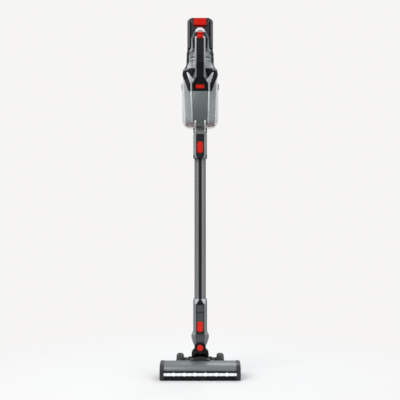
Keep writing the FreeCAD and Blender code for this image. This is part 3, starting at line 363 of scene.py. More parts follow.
low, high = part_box("head_cover")
front, crown_y, rear = low.y, -0.048, high.y
lip_z, crown_z = low.z, high.z
crown_steps, cover_wall, slope_wall_share = 14, 0.0022, 0.4
outline = []
for i in range(crown_steps + 1):
    turn = math.radians(90 * i / crown_steps)
    outline.append((crown_y - (crown_y - front) * math.cos(turn),
                    lip_z + (crown_z - lip_z) * math.sin(turn) ** 0.9))
outline += [(-0.030, crown_z), (-0.014, crown_z - 0.0013), (rear - 0.003, crown_z - 0.008),
            (rear, crown_z - 0.013)]
inner_outline = []
for y, z in outline:
    if z > lip_z + 0.003:
        inner_outline.append((y + cover_wall * (1 if y < crown_y else slope_wall_share), z - cover_wall))
outline += [(rear, lip_z), (rear - 0.0025, lip_z), (rear - 0.0025, crown_z - 0.0145)]
cover = across(outline + inner_outline[::-1] + [(front + 0.0024, lip_z)], low.x, high.x)
ease(cover, width=0.0006, steps=2, angle=60)
fit(keep("cover_shell", cover, cover_grey), "floor_head", "grey_gloss", "head_cover")

bridge_half, bridge_rise, bridge_steps = 0.036, 0.0135, 16
bridge_foot, bridge_spring = 0.044, 0.0455
saddle = []
for i in range(bridge_steps + 1):
    x = -bridge_half + 2 * bridge_half * i / bridge_steps
    saddle.append((x, bridge_spring + bridge_rise * math.cos(x / bridge_half * math.pi / 2) ** 0.7))
bridge = facing(saddle + [(bridge_half, bridge_foot), (-bridge_half, bridge_foot)], front=-0.027, back=0.006)
bridge_edge_y = -0.020
ease(bridge, width=0.005, steps=4, angle=50, only=lambda e: all(v.co.y < bridge_edge_y for v in e.verts))
fit(keep("bridge_saddle", bridge, cap_grey), "floor_head", "dark_plastic", "centre_bridge")


def rear_bar(side):
    """The dark bar from the arm to the wheel, with a small boss on top where the cover's hook sits."""
    bar_x, bar_width, bar_top, boss_r, boss_x = 0.0474, 0.0042, 0.0435, 0.0042, 0.0335
    profile = [(0.046, 0.030), (0.070, 0.030), (0.070, 0.040), (0.064, bar_top), (0.048, bar_top)]
    bar = extruded([(side * bar_x, y, z) for y, z in profile], (side * bar_width, 0, 0))
    boss = bmesh.new()
    bmesh.ops.create_uvsphere(boss, u_segments=20, v_segments=12, radius=boss_r)
    bmesh.ops.translate(boss, vec=(side * boss_x, 0.044, bar_top), verts=boss.verts)
    return join(bar, boss)


fit(keep("rear_bars", both_hands(rear_bar), cap_grey), "floor_head", "dark_plastic")
dress(steel, "sole_screws", "brush_bearings", "brush_motor", "motor_pulley")
dress(cap_grey, "axles_and_pins")

# ------------------------------------------------------------------ the lamps
# A strip of clear plastic pressed into the nose, with a board of six white lamps screwed behind it
# and a black bumper below. Each lamp washes the strip with light and is drawn as a small star whose
# long spikes, reaching past the strip, are a painted glint.


def glowing(name, dim, bright, strength, spread):
    """Clear plastic lit from behind, brightest beside each lamp and paler between them."""
    material, shade, place = new_finish(name)
    apart = shade.make("ShaderNodeSeparateXYZ", None, {0: place})
    beat = (apart * (2 * math.pi / lamp_pitch)).wave()
    near = (0.5 - beat.size() * 0.5 + noise(shade, place, 160.0) * 0.35) ** spread
    glow = near.clamped().tint(dim, bright)
    return surface(material, shade, {"Base Color": (0.35, 0.37, 0.38, 1), "Roughness": 0.12,
                                     "Emission Color": glow, "Emission Strength": strength})


lamp_pitch, lamp_count = 0.0324, 6
nose_back = -0.079
strip_low, strip_high, strip_front = 0.0148, 0.0232, -0.0836
half_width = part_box("led_lens")[1].x
strip = across([(nose_back, strip_low), (strip_front, strip_low), (strip_front, strip_high),
                (nose_back, strip_high)], -half_width, half_width)
ease(strip, width=0.0006, steps=2)
lit_clear = glowing("lit_clear", (0.50, 0.54, 0.58), (0.98, 0.99, 1.0), strength=0.85, spread=1.5)
fit(keep("lamp_strip", strip, lit_clear), "floor_head", "lamp_lens", "led_lens")

# The stars: each core stands for a lamp, and the long spikes are a painted glint.
glint_reach = (0.0044, 0.0015, 0.0082, 0.0015)
star_z = (strip_low + strip_high) / 2 + 0.0006
stars = bmesh.new()
for i in range(lamp_count):
    star_x = (i - (lamp_count - 1) / 2) * lamp_pitch
    points = []
    for k in range(8):
        reach = glint_reach[k % 4]
        turn = math.radians(45 * k)
        points.append((star_x + reach * math.cos(turn), star_z + reach * math.sin(turn)))
    join(stars, facing(points, strip_front - 0.0009, strip_front + 0.0002))
lamp_and_glint_white = glowing("lamp_and_glint_white", (1.0, 1.0, 1.0), (1.0, 1.0, 1.0), strength=1.7, spread=1.0)
fit(keep("lamp_glint_stars", stars, lamp_and_glint_white), "floor_head", "lamp_board")

bumper_foot, bumper_top, bumper_front = 0.0012, 0.0145, -0.0848
bumper = across([(nose_back, bumper_foot), (-0.0825, bumper_foot), (bumper_front, 0.0035),
                 (bumper_front, 0.0125), (-0.0838, bumper_top), (nose_back, bumper_top)],
                -half_width, half_width)
ease(bumper, width=0.0007, steps=2)
fit(keep("nose_bumper", bumper, bumper_black), "floor_head", "black_plastic", "front_bumper")
board_green = moulded("board_green", (0.05, 0.16, 0.08), rough=0.4)
dress(board_green, "led_board", "control_board")

# ------------------------------------------------------------------ the brush and its drive
# A red plastic core with four wound rows of nylon bristles, turned by a rubber belt. It runs in two
# steel bearings behind a red latch, and a felt strip is glued along the front of the sole.


def fibres(name, dark, light, scale):
    """Short upright fibres: thin streaks of light and dark with a matt, hairy surface."""
    material, shade, place = new_finish(name)
    hairs = noise(shade, place, scale, 6.0, 0.8)
    tone = hairs.tint(dark, light)
    bumped = shade.make("ShaderNodeBump", None, {"Strength": 0.9, "Distance": 0.0006, "Height": hairs})
    return surface(material, shade, {"Base Color": tone, "Roughness": 0.85, "Normal": bumped,
                                     "Sheen Weight": 0.4})


signal_red = moulded("signal_red", (0.74, 0.008, 0.0), rough=0.36, shift=0.08, grain=0.08, shine=0.22)
soft_rubber = moulded("soft_rubber", (0.006, 0.0075, 0.009), rough=0.55, grain=0.5, fine=500.0,
                      shine=0.30)
dress(signal_red, "brush_core", "brush_latch", "bin_button")
dress(fibres("nylon_bristle", (0.03, 0.03, 0.03), (0.16, 0.16, 0.17), 1400.0), "brush_bristles")
dress(fibres("black_felt", (0.01, 0.01, 0.01), (0.06, 0.06, 0.06), 900.0), "sole_felt")
dress(soft_rubber, "drive_belt")

# ------------------------------------------------------------------ the wheels
# Two dished hubs moulded in dark plastic, each with a grooved rubber tyre pressed over its rim.
# Each wheel turns on its own axle, which is pressed into the arm of the floor head.
tyre_black = moulded("tyre_black", (0.030, 0.031, 0.032), rough=0.62, grain=0.7, fine=420.0, dust=0.2)
turning_steps = 72


def turned(profile, centre):
    """A solid of revolution: (along, radius) points spun once about the axle through a centre."""
    bm = bmesh.new()
    axle, out, centre = Vector((1, 0, 0)), Vector((0, 0, 1)), Vector(centre)
    verts = [bm.verts.new(centre + axle * along + out * radius) for along, radius in profile]
    edges = [bm.edges.new(pair) for pair in zip(verts, verts[1:] + verts[:1])]
    bmesh.ops.spin(bm, geom=verts + edges, cent=centre, axis=axle, dvec=(0, 0, 0), angle=2 * math.pi,
                   steps=turning_steps, use_merge=True, use_normal_flip=False, use_duplicate=False)
    bmesh.ops.remove_doubles(bm, verts=bm.verts, dist=1e-6)
    return bm


wheel_x, wheel_y, wheel_r, wheel_half = 0.064, 0.058, 0.029, 0.01175
rim_half, rim_r, bore_r = 0.0107, 0.0188, 0.0052
tyre_seat_r, shoulder_r, shoulder_steps = 0.0190, 0.0088, 8
groove_x, groove_top, groove_floor, groove_depth = 0.0018, 0.0005, 0.0003, 0.0007


def tyre_outline():
    """The tyre's section as (along, radius): a round shoulder, two grooves and the far shoulder."""
    shoulder = []
    for i in range(shoulder_steps + 1):
        turn = math.radians(90 * i / shoulder_steps)
        shoulder.append((-wheel_half + shoulder_r * (1 - math.cos(turn)),
                         wheel_r - shoulder_r + shoulder_r * math.sin(turn)))
    grooves = []
    for x in (-groove_x, groove_x):
        grooves += [(x - groove_top, wheel_r), (x - groove_floor, wheel_r - groove_depth),
                    (x + groove_floor, wheel_r - groove_depth), (x + groove_top, wheel_r)]
    far_shoulder = [(-x, r) for x, r in reversed(shoulder)]
    return [(-rim_half, tyre_seat_r)] + shoulder + grooves + far_shoulder + [(rim_half, tyre_seat_r)]


dish = [(-rim_half, bore_r), (-rim_half, rim_r), (rim_half, rim_r), (rim_half, 0.0165), (0.0065, 0.0150),
        (0.0065, 0.0100), (0.0100, 0.0088), (0.0100, bore_r)]
for side, hand in ((1, "right"), (-1, "left")):
    middle = (side * wheel_x, wheel_y, wheel_r)
    tyre = turned(tyre_outline(), middle)
    fit(keep("tyre_" + hand, tyre, tyre_black), "wheel_" + hand, "tyre_rubber", "wheel_tyre_" + hand)
    disc = turned([(side * along, r) for along, r in dish], middle)
    fit(keep("hub_" + hand, disc, cap_grey), "wheel_" + hand, "dark_plastic", "wheel_hub_" + hand)

# ------------------------------------------------------------------ the neck
# A black moulded yoke whose barrel leans on the pins of the floor head. The elbow's drum swings
# between its two round ears on steel pins, and a red cap is pressed in over the front one.
dress(base_black, "neck_yoke")
dress(steel, "swivel_pins")


def neck_flank(side):
    """The bell-shaped shoulder below the ears, hollow enough for the elbow to swing over it."""
    inner_x, outer_x, foot_z = 0.0172, 0.0268, 0.0600
    points = [(inner_x, foot_z), (outer_x, foot_z), (outer_x, 0.0665), (0.0258, 0.0705),
              (0.0241, 0.0740), (0.0220, 0.0765), (0.0194, 0.0784), (inner_x, 0.0775)]
    flank = facing([(side * x, z) for x, z in points], front=-0.0078, back=0.0275)
    ease(flank, width=0.0022, steps=3, angle=40)
    return flank


fit(keep("neck_flanks", both_hands(neck_flank), base_black), "neck", "black_plastic")

button_red = (0.80, 0.020, 0.010)
cap_z = (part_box("swivel_cap")[0].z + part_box("swivel_cap")[1].z) / 2


def cap_marks(x, z):
    """The shaded rim of the round cap."""
    lit_r = 0.0095
    off_z = z - cap_z
    return [((x * x + off_z * off_z).over(lit_r ** 2), (0.090, 0.007, 0.006))]


dress(painted("cap_red", button_red, cap_marks, rough=0.36, shine=0.22), "swivel_cap")

# ------------------------------------------------------------------ the elbow and its collar
# An elbow in grey plastic that widens below the collar, with a darker panel clipped down its front.
# The collar takes the tube, and a red button on a steel spring lets the tube go.
panel_half = 0.0128
panel_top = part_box("elbow_panel")[1].z
elbow_colour, panel_colour = (0.215, 0.23, 0.23), (0.070, 0.082, 0.085)
stud_colour = (0.80, 0.80, 0.80)


def pale_studs(x, z):
    """The two pale studs at the top of the elbow."""
    stud_x, stud_z, stud_r = 0.0192, 0.1315, 0.00184
    off_x, off_z = x - stud_x, z - stud_z
    return 1 - (off_x * off_x + off_z * off_z).over(stud_r ** 2)


def lower_marks(x, z):
    """The collar's dark foot, the panel's edges and seams, the arrow at the mouth, and a painted highlight
    on the facets beside it.
    """
    mouth_low, mouth_high = 0.2215, 0.2425
    on_panel = 1 - x.over(panel_half)
    arrow_tip, arrow_slope, foot_top = 0.2440, 0.55, 0.1520
    arrow_side = (arrow_tip - z) * arrow_slope
    arrow = within(z, mouth_low, mouth_high) * (1 - (x - arrow_side).over(0.0006))
    # A painted highlight: the facets beside the arrow are coloured pale where they would catch the light.
    facet_highlight = within(z, 0.2250, mouth_high) * (x - arrow_side).over(0.0012) * (1 - x.over(0.0168))
    foot = (1 - z.over(foot_top)) * on_panel
    edge = within(x, 0.0100, panel_half) * (1 - z.over(mouth_low))
    seam = (within(z, 0.1966, 0.1994) + within(z, 0.1335, 0.1376)) * on_panel
    return [(foot, (0.045, 0.050, 0.054)), (edge, (0.018, 0.019, 0.020)), (facet_highlight, (0.55, 0.57, 0.58)),
            ((arrow + seam).clamped(), (0.006, 0.007, 0.008)), (pale_studs(x, z), stud_colour)]


def elbow_marks(x, z):
    """The dark shield that carries the panel down to the round cap, and the studs."""
    shield_half = 0.0138
    return [(1 - x.over(shield_half), (0.055, 0.062, 0.065)), (pale_studs(x, z), stud_colour)]


def panel_marks(x, z):
    """The dark gap above the elbow's panel."""
    gap = 0.0034
    return [(z.over(panel_top - gap), (0.012, 0.013, 0.015))]


def button_marks(foot_z):
    """The shaded flanks of a button, and the shade below its rounded foot."""
    lit_half = 0.0092

    def marks(x, z):
        above = z - (foot_z + lit_half)
        below_foot = (1 - above.over(0.0)) * (x * x + above * above).over(lit_half ** 2)
        return [((x.over(lit_half) + below_foot).clamped(), (0.060, 0.006, 0.005))]
    return marks


dress(painted("elbow_grey", elbow_colour, lower_marks), "lower_collar")
dress(painted("elbow_front", elbow_colour, elbow_marks), "elbow_shell")
dress(painted("panel_dark", panel_colour, panel_marks, rough=0.30), "elbow_panel")
dress(painted("lower_panel_dark", panel_colour, lower_marks, rough=0.30), "lower_panel")
lower_button_marks = button_marks(foot_z=0.1385)
dress(painted("lower_button_red", button_red, lower_button_marks, rough=0.36, shine=0.22), "lower_button")
dress(steel, "lower_spring")

# ------------------------------------------------------------------ the wand
# A drawn aluminium tube with a satin grey coat. A black plastic strip, glued into a groove down its
# front, covers the wires to the floor head.
coated_tube = moulded("coated_tube", (0.31, 0.315, 0.31), rough=0.40, shift=0.06, grain=0.12,
                      fine=1800.0, metallic=0.35)
strip_black = moulded("strip_black", (0.013, 0.015, 0.018), rough=0.40, grain=0.15, shine=0.35)
dress(coated_tube, "wand_tube")
dress(strip_black, "wand_stripe")

# ------------------------------------------------------------------ the upper collar
# A shorter and paler plastic collar pressed on to the top of the tube, with a black panel in front.
# It takes the neck of the dust bin, and its red button on a steel spring lets the neck go.


def upper_marks(x, z):
    """The black centre that tapers to the tube's strip, and the black cuts at the lower corners."""
    taper_low, taper_high, mouth = 0.6700, 0.6890, 0.7562
    centre = within(z, taper_high, mouth) * (1 - x.over(panel_half))
    taper = within(z, taper_low, taper_high) * (1 - (x - (z - taper_low) * 0.36).over(0.0060))
    cut = (1 - z.over(0.6905)) * x.over(0.0176)
    return [((centre + taper + cut).clamped(), (0.008, 0.010, 0.011))]


def neck_marks(x, z):
    """The grey front of the bin's neck and its dark outer edges."""
    front_half, edge_x = 0.0125, 0.0180
    return [(1 - x.over(front_half), (0.30, 0.315, 0.32)), (x.over(edge_x), (0.025, 0.028, 0.029))]


dress(painted("collar_pale", (0.33, 0.36, 0.36), upper_marks), "upper_collar")
dress(strip_black, "upper_panel")
upper_button_marks = button_marks(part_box("upper_button")[0].z)
dress(painted("upper_button_red", button_red, upper_button_marks, rough=0.36, shine=0.22), "upper_button")
dress(steel, "upper_spring")
dress(painted("neck_pale", (0.40, 0.42, 0.42), neck_marks), "inlet_neck")

# ------------------------------------------------------------------ the dust bin
# A clear moulded shell like a rounded box, sealed to the motor unit by a red rubber ring. A grey panel
# and two silver rails are clipped to its front, and a ribbed grey liner stands inside.


def clear_plastic(name, colour, cover):
    """Clear moulding: mostly see-through, with faint dust and a sharp gloss."""
    material, shade, place = new_finish(name)
    haze = noise(shade, place, 30.0, 5.0)
    see = (cover + (haze - 0.5) * 0.12).clamped()
    gloss = (0.06 + (haze - 0.45) * 0.1).clamped()
    return surface(material, shade, {"Base Color": (*colour, 1), "Roughness": gloss, "Alpha": see})


front_grey = moulded("front_grey", (0.15, 0.168, 0.172), rough=0.34, coat=0.2)
bright_silver = moulded("bright_silver", (0.62, 0.65, 0.66), rough=0.28, metallic=0.30, grain=0.1,
                        fine=2500.0)
seal_red = moulded("seal_red", (0.58, 0.10, 0.12), rough=0.6)
dress(clear_plastic("bin_clear", (0.80, 0.84, 0.84), 0.20), "bin_shell")
dress(front_grey, "bin_front_panel")
dress(seal_red, "bin_seal")


corner_steps = 8


def rounded(bm, width, depth, radius, y, z, x=0.0):
    """A level face with rounded corners, width across and depth from front to back."""
    before = set(bm.faces)
    verts = bmesh.ops.create_grid(bm, x_segments=1, y_segments=1, size=0.5)["verts"]
    bmesh.ops.scale(bm, vec=(width, depth, 1), verts=verts)
    bmesh.ops.translate(bm, vec=(x, y, z), verts=verts)
    bmesh.ops.bevel(bm, geom=verts, offset=radius, segments=corner_steps, profile=0.5, material=-1,
                    affect="VERTICES")
    return [f for f in bm.faces if f not in before][0]


def stacked(levels, capped=True):
    """A skin over level rounded faces, from the lowest to the highest."""
    bm = bmesh.new()
    faces = [rounded(bm, *level) for level in levels]
    for lower, upper in zip(faces, faces[1:]):
        bmesh.ops.bridge_loops(bm, edges=list(lower.edges) + list(upper.edges))
    bmesh.ops.delete(bm, geom=faces[1:-1] if capped else faces, context="FACES_ONLY")
    bmesh.ops.recalc_face_normals(bm, faces=bm.faces)
    return bm


def smoked_liner():
    """Grey, nearly opaque plastic: upright bands of lighter and darker grey from the moulding's ribs."""
    material, shade, place = new_finish("smoked_liner")
    apart = shade.make("ShaderNodeSeparateXYZ", None, {0: place})
    rib_phase, wander = 260.0, 2.2
    bands = (apart * rib_phase + noise(shade, place, 9.0) * wander).wave() * 0.5 + 0.5
    tone = bands.tint((0.24, 0.262, 0.265), (0.40, 0.43, 0.435))
    return surface(material, shade, {"Base Color": tone, "Roughness": 0.35, "Alpha": 0.93})


bin_y, liner_wall = 0.008, 0.0008
liner_levels = [(0.0880, 0.0800, 0.028, 0.7872), (0.0905, 0.0830, 0.030, 0.7905),
                (0.0925, 0.0850, 0.031, 0.8000), (0.0990, 0.0900, 0.033, 0.8830),
                (0.0990, 0.0900, 0.033, 0.9260)]
liner = stacked([(width, depth, radius, bin_y, z) for width, depth, radius, z in liner_levels],
                capped=False)
bmesh.ops.solidify(liner, geom=liner.faces[:], thickness=liner_wall)
fit(keep("bin_liner", liner, smoked_liner()), "dust_bin", "clear_shell")


def front_rail(side):
    """A silver rail beside the front panel, from the apron down round the foot of the bin."""
    rail_top, bend_z, rail_foot = 0.8848, 0.7905, 0.7865
    points = [(0.0250, rail_top), (0.0298, rail_top), (0.0272, bend_z), (0.0262, rail_foot),
              (0.0235, rail_foot), (0.0225, bend_z)]
    rail = facing([(side * x, z) for x, z in points], front=-0.0490, back=-0.0405)
    ease(rail, width=0.0009, steps=2, angle=40)
    return rail


def side_clip(side):
    """The low grey nose on the flank that the shield's hook snaps over."""
    wall_x = 0.0562
    points = [(wall_x, 0.8935), (0.0580, 0.8950), (0.0592, 0.9020), (0.0586, 0.9120), (wall_x, 0.9140)]
    clip = facing([(side * x, z) for x, z in points], front=-0.004, back=0.020)
    ease(clip, width=0.0008, steps=2, angle=30)
    return clip


fit(keep("front_rails", both_hands(front_rail), bright_silver), "dust_bin", "silver_trim", "bin_rails")

clip_grey = moulded("clip_grey", (0.42, 0.44, 0.44), rough=0.4)
fit(keep("side_clips", both_hands(side_clip), clip_grey), "dust_bin", "clear_shell")

plate_foot, plate_foot_half = 0.7965, 0.0214
plate_top, plate_top_half = 0.8846, 0.0238
face_plate = facing([(-plate_foot_half, plate_foot), (plate_foot_half, plate_foot),
                     (plate_top_half, plate_top), (-plate_top_half, plate_top)], front=-0.0482, back=-0.0440)
ease(face_plate, width=0.0010, steps=2, angle=40)
fit(keep("face_plate", face_plate, front_grey), "dust_bin", "panel_grey")


def tongue_cheek(side):
    """The lip that runs down beside the tongue and on to the collar below, near-white as a painted
    highlight.
    """
    inner_x, outer_x = 0.0125, 0.0172
    outer_line = [(-0.0486, 0.7945), (-0.0478, 0.7870), (-0.0425, 0.7795), (-0.0330, 0.7745),
                  (-0.0215, 0.7715), (-0.0195, 0.7660), (-0.0195, 0.7605)]
    inner_line = [(-0.0160, 0.7605), (-0.0160, 0.7720), (-0.0290, 0.7780), (-0.0400, 0.7840),
                  (-0.0440, 0.7945)]
    cheek = across(outer_line + inner_line, *sorted((side * inner_x, side * outer_x)))
    ease(cheek, width=0.0008, steps=2, angle=40)
    return cheek


# Near-white plastic used as a painted highlight on the tongue's lips and on the handle's crown.
highlight_white = moulded("highlight_white", (0.92, 0.93, 0.93), rough=0.26, shift=0.04, grain=0.08)
fit(keep("tongue_cheeks", both_hands(tongue_cheek), highlight_white), "dust_bin", "silver_trim")

# ------------------------------------------------------------------ the cyclone and its filter
# A slotted cage moulded in grey plastic hangs from the motor unit into the bin. A pleated paper filter
# stands inside it, and the moulded impeller above draws the air through both.
cage_grey = moulded("cage_grey", (0.30, 0.32, 0.32), rough=0.42)
dress(cage_grey, "cyclone_cage", "impeller")
dress(fibres("filter_paper", (0.60, 0.60, 0.56), (0.85, 0.85, 0.80), 300.0), "pleated_filter")

# ------------------------------------------------------------------ the shield
# A black plastic collar screwed to the motor housing, with an apron that drops over the front of the
# bin. Two silver struts, snapped on beside the apron, run up to the housing and the handle.


def shield_marks(x, z):
    """The bare grey shoulder where the shield meets the motor housing."""
    shoulder_low, shoulder_high, shoulder_x = 0.9500, 0.9590, 0.0370
    return [(within(z, shoulder_low, shoulder_high) * x.over(shoulder_x), (0.24, 0.255, 0.255))]


shield_black = painted("shield_black", (0.005, 0.006, 0.007), shield_marks, rough=0.40, shine=0.15)
dress(shield_black, "shield")


def strut(side):
    """The silver Y: an upright, an arm to the shoulder and a branch to the handle, with a filled crotch."""
    strut_foot, inner_x, outer_x, branch_x, shoulder_x = 0.8852, 0.0250, 0.0302, 0.0140, 0.0415
    upright = [(inner_x, strut_foot), (outer_x, strut_foot), (outer_x, 0.9075), (0.0345, 0.9170)]
    arm = [(shoulder_x, 0.9385), (shoulder_x, 0.9425), (0.0378, 0.9428), (0.0240, 0.9248)]
    branch = [(branch_x, 0.9170), (branch_x, 0.9140), (0.0245, 0.9085), (inner_x, 0.9050)]
    plate = facing([(side * x, z) for x, z in upright + arm + branch], front=-0.0492, back=-0.0400)
    ease(plate, width=0.0009, steps=2, angle=40)
    return plate


def crotch_facet(side):
    """The dark grey facet between the branch and the handle."""
    handle_x, facet_top = 0.0150, 0.9440
    points = [(handle_x, 0.9180), (0.0232, 0.9249), (0.0168, facet_top), (handle_x, facet_top)]
    return facing([(side * x, z) for x, z in points], front=-0.0487, back=-0.0420)


fit(keep("silver_struts", both_hands(strut), bright_silver), "motor_unit", "silver_trim", "shield_trim")
facet_grey = moulded("facet_grey", (0.17, 0.185, 0.19), rough=0.38)
fit(keep("shield_facets", both_hands(crotch_facet), facet_grey), "motor_unit", "black_plastic")

# ------------------------------------------------------------------ the motor housing
# Two black plastic half shells screwed together round the suction motor. The front one has silver paint
# that stops short of its rim, and the rear one is bare. The paint carries painted shade in its groove
# and notches, painted highlights along the groove and the left edge, and a painted shade down the left.


def housing_paint():
    """Silver paint over a black moulding that shows at the rim, with painted shade, highlights and glints.
    """
    material, shade, place = new_finish("housing_paint")
    apart = shade.make("ShaderNodeSeparateXYZ", None, {0: place})
    x = apart.size()
    y = Shade(shade.tree, apart.socket.node.outputs[1])
    z = Shade(shade.tree, apart.socket.node.outputs[2])
    flake = noise(shade, place, 2600.0, 2.0)
    streak = (x * 420.0 + noise(shade, place, 12.0) * 1.5).wave() * 0.5 + 0.5
    tone = (streak * 0.5 + flake * 0.3).tint((0.27, 0.292, 0.295), (0.44, 0.47, 0.475))
    # Painted shade in a band down the left side, and a painted highlight along the left edge.
    shade_x, shade_fall, edge_x, edge_rise = -0.0235, 130.0, -0.0305, 400.0
    left_shade = (1 - (apart - shade_x).size() * shade_fall).clamped() * 0.8
    tone = left_shade.tint(tone, (0.15, 0.16, 0.165))
    left_edge_highlight = ((edge_x - apart) * edge_rise).clamped() * 0.6
    tone = left_edge_highlight.tint(tone, (0.62, 0.65, 0.66))
    rim_y, rim_x, rim_foot = -0.0190, 0.0405, 0.957
    rim = (y.over(rim_y) + x.over(rim_x)).clamped() * z.over(rim_foot)
    beside_grip = within(x, 0.0165, 0.0300)
    # The groove is only bumped: it is painted shade, with a painted highlight along its lower lip. The
    # notches are painted shade too.
    groove_z, groove_half, line_z, line_half = 0.9920, 0.0016, 0.9878, 0.0011
    groove_shade = (1 - (z - groove_z).size().over(groove_half)) * beside_grip
    groove_highlight = (1 - (z - line_z).size().over(line_half)) * beside_grip
    notch_x, notch_z, notch_slope, notch_half = 0.0330, 1.0045, 1.3, 0.0024
    notch_line = (z - notch_z + (x - notch_x) * notch_slope).size()
    notch_shade = (1 - notch_line.over(notch_half)) * x.over(0.0275)
    # A round painted glint near each top corner.
    glint_x, glint_z, glint_r = 0.0315, 1.0150, 0.0030
    off_x, off_z = x - glint_x, z - glint_z
    glint = 1 - (off_x * off_x + off_z * off_z).over(glint_r ** 2)
    # The bare rim is the black moulding itself; the groove and notches join it as painted shade.
    bare_rim_and_shade = (rim + groove_shade + notch_shade).clamped()
    tone = (groove_highlight * 0.8 + glint).clamped().tint(tone, (0.72, 0.75, 0.76))
    tone = bare_rim_and_shade.tint(tone, (0.016, 0.017, 0.018))
    gloss = 0.44 + flake * 0.10 + bare_rim_and_shade * 0.10
    step = {"Strength": 0.5, "Distance": 0.0006, "Height": 1 - bare_rim_and_shade}
    bumped = shade.make("ShaderNodeBump", None, step)
    return surface(material, shade, {"Base Color": tone, "Roughness": gloss, "Metallic": (1 - bare_rim_and_shade) * 0.45,
                                     "Normal": bumped})


dress(housing_paint(), "housing_front")
dress(base_black, "housing_rear")
dress(steel, "suction_motor")
dress(moulded("contact_brass", (0.80, 0.60, 0.30), rough=0.3, metallic=1.0), "battery_contacts")

# ------------------------------------------------------------------ the handle
# A silver-painted plastic frame screwed to the housing, with a fork that holds the battery. A black
# rubber grip is moulded over it, and a red trigger sits under the first finger.
dress(soft_rubber, "handle_grip")
handle_silver = (0.46, 0.49, 0.50)
edge_silver = moulded("edge_silver", handle_silver, rough=0.34, grain=0.08, fine=2500.0, metallic=0.3)


def handle_marks(x, z):
    """The black recess on both sides of the trigger."""
    recess_low, recess_high = 1.0450, 1.0595
    return [(within(z, recess_low, recess_high), (0.006, 0.006, 0.007))]


handle_front = -0.0700
handle_paint = painted("handle_paint", handle_silver, handle_marks, rough=0.34, metallic=0.3,
                       front=handle_front)


def sliced(bm, planes):
    """Cut a mesh off beyond each plane (point, outward direction) and close the cuts."""
    for point, outward in planes:
        cut = bmesh.ops.bisect_plane(bm, geom=bm.verts[:] + bm.edges[:] + bm.faces[:], dist=1e-7,
                                     plane_co=point, plane_no=outward, clear_outer=True)
        rim = [e for e in cut["geom_cut"] if isinstance(e, bmesh.types.BMEdge)]
        bmesh.ops.holes_fill(bm, edges=rim, sides=0)
    return bm


arch_top, arch_r, arch_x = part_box("handle_frame")[1].z, 0.0155, 0.0158
arch_planes = []
for side in (1, -1):
    for degrees in (8, 22, 38, 54, 70, 84):
        lean = math.radians(degrees)
        direction = Vector((side * math.sin(lean), 0, math.cos(lean)))
        centre = Vector((side * (arch_x - arch_r), handle_front, arch_top - arch_r))
        arch_planes.append((centre + direction * arch_r, direction))
frame_mesh = bmesh.new()
frame_mesh.from_mesh(nodes["handle_frame"].data)
bmesh.ops.remove_doubles(frame_mesh, verts=frame_mesh.verts, dist=1e-6)
sliced(frame_mesh, arch_planes)
ease(frame_mesh, width=0.0004, steps=1, angle=75)
fit(keep("handle_shell", frame_mesh, handle_paint), "motor_unit", "silver_plastic", "handle_frame")


def fork_arm(side):
    """One arm of the cradle that reaches back from the head of the handle and down beside the pack."""
    corner_r, post_y, post_x = 0.0016, -0.0325, 0.0250
    return stacked([(0.0054, 0.0100, corner_r, post_y, 1.0120, side * post_x),
                    (0.0054, 0.0100, corner_r, post_y, 1.0475, side * post_x),
                    (0.0060, 0.0110, corner_r, -0.0350, 1.0525, side * 0.0236),
                    (0.0050, 0.0110, corner_r, -0.0540, 1.0655, side * 0.0150)])


fit(keep("fork_arms", both_hands(fork_arm), edge_silver), "motor_unit", "silver_plastic")

# The white arch over the top of the handle is a painted highlight: a near-white piece where the rounded top
# catches the light from above.
crown_foot = 1.0560
crown_outside = [(0.0154, crown_foot), (0.0150, 1.0600), (0.0136, 1.0645), (0.0111, 1.0682),
                 (0.0077, 1.0708), (0.0037, 1.0721)]
crown_inside = [(0.0035, 1.0632), (0.0072, 1.0622), (0.0100, 1.0596), (0.0114, crown_foot)]
crown_outline = crown_outside + [(-x, z) for x, z in crown_outside[::-1]]
crown_outline += [(-x, z) for x, z in crown_inside[::-1]] + crown_inside
crown = facing(crown_outline, -0.0835, handle_front)
ease(crown, width=0.0010, steps=3, angle=35)
fit(keep("handle_crown_highlight", crown, highlight_white), "motor_unit", "silver_plastic")

flare_half, flare_back, flare_top, flare_top_half = 0.0242, -0.0480, 0.9262, 0.0113
flare = across([(flare_back, 0.9035), (-0.0502, 0.9050), (-0.0530, 0.9105), (-0.0602, flare_top),
                (-0.0560, 0.9266), (flare_back, 0.9120)], -flare_half, flare_half)
sliced(flare, [((side * flare_top_half, 0, flare_top), (side * 0.81, 0, 0.58)) for side in (1, -1)])
fit(keep("grip_foot", flare, soft_rubber), "motor_unit", "grip_rubber")

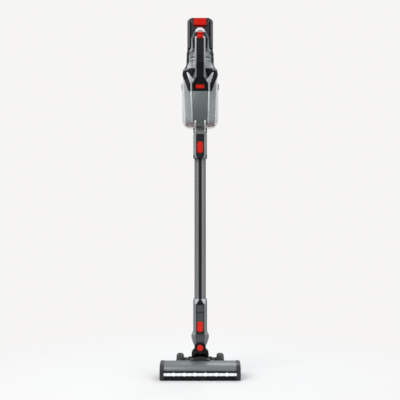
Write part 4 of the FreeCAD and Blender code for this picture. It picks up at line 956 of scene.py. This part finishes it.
finger_half, finger_back, finger_front, finger_foot = 0.0090, -0.0785, -0.0869, 1.0396
finger = across([(finger_back, finger_foot), (-0.0858, finger_foot), (finger_front, 1.0412),
                 (finger_front, 1.0476), (-0.0840, 1.0500), (-0.0838, 1.0522), (-0.0864, 1.0542),
                 (-0.0856, 1.0588), (finger_back, 1.0592)], -finger_half, finger_half)
ease(finger, width=0.0007, steps=2, angle=30)
fit(keep("finger_trigger", finger, signal_red), "power_trigger", "red_plastic", "trigger")

# ------------------------------------------------------------------ the battery
# A black plastic case with a grey cheek glued to each side and six round cells standing inside. It
# slides down into the fork, and a sprung red latch at its top holds it there.
pack_black = moulded("pack_black", (0.034, 0.036, 0.044), rough=0.36, shine=0.3)
cheek_grey = moulded("cheek_grey", (0.115, 0.125, 0.125), rough=0.42)
dress(pack_black, "battery_case")
# Near-black, matt and dull: painted shade for the deep lines beside the battery's cheeks.
gap_shade_black = moulded("gap_shade_black", (0.001, 0.001, 0.001), rough=0.8, shine=0.05)


def side_gap(side):
    """The deep line between the case and its cheek, a near-black sheet as painted shade."""
    gap_foot, gap_x = 1.0236, 0.0309
    points = [(0.0268, gap_foot), (gap_x, gap_foot), (gap_x, 1.1020), (0.0285, 1.1040)]
    return facing([(side * x, z) for x, z in points], front=-0.0236, back=-0.0215)


def latch_glint(side):
    """A slim flat wedge beside the latch in a lighter grey, a painted glint where a bevel would catch the
    light.
    """
    points = [(0.0272, 1.1090), (0.0218, 1.1005), (0.0232, 1.0975), (0.0290, 1.1062)]
    return facing([(side * x, z) for x, z in points], front=-0.0242, back=-0.0215)


fit(keep("side_gaps", both_hands(side_gap), gap_shade_black), "battery", "battery_black")
# The wedges beside the latch are a painted glint.
fit(keep("latch_glints", both_hands(latch_glint), cheek_grey), "battery", "battery_grey")
lip_top, lip_top_half, lip_foot, lip_foot_half = 1.0882, 0.0150, 1.0850, 0.0120
latch_lip = facing([(-lip_top_half, lip_top), (-lip_foot_half, lip_foot), (lip_foot_half, lip_foot),
                    (lip_top_half, lip_top)], front=-0.0262, back=-0.0220)
ease(latch_lip, width=0.0006, steps=2)
lip_red = moulded("lip_red", (0.30, 0.012, 0.004), rough=0.4)
fit(keep("latch_lip", latch_lip, lip_red), "battery", "red_plastic")
dress(cheek_grey, "battery_cheeks")
dress(moulded("cell_blue", (0.05, 0.25, 0.45), rough=0.3), "battery_cells")
dress(signal_red, "battery_latch")
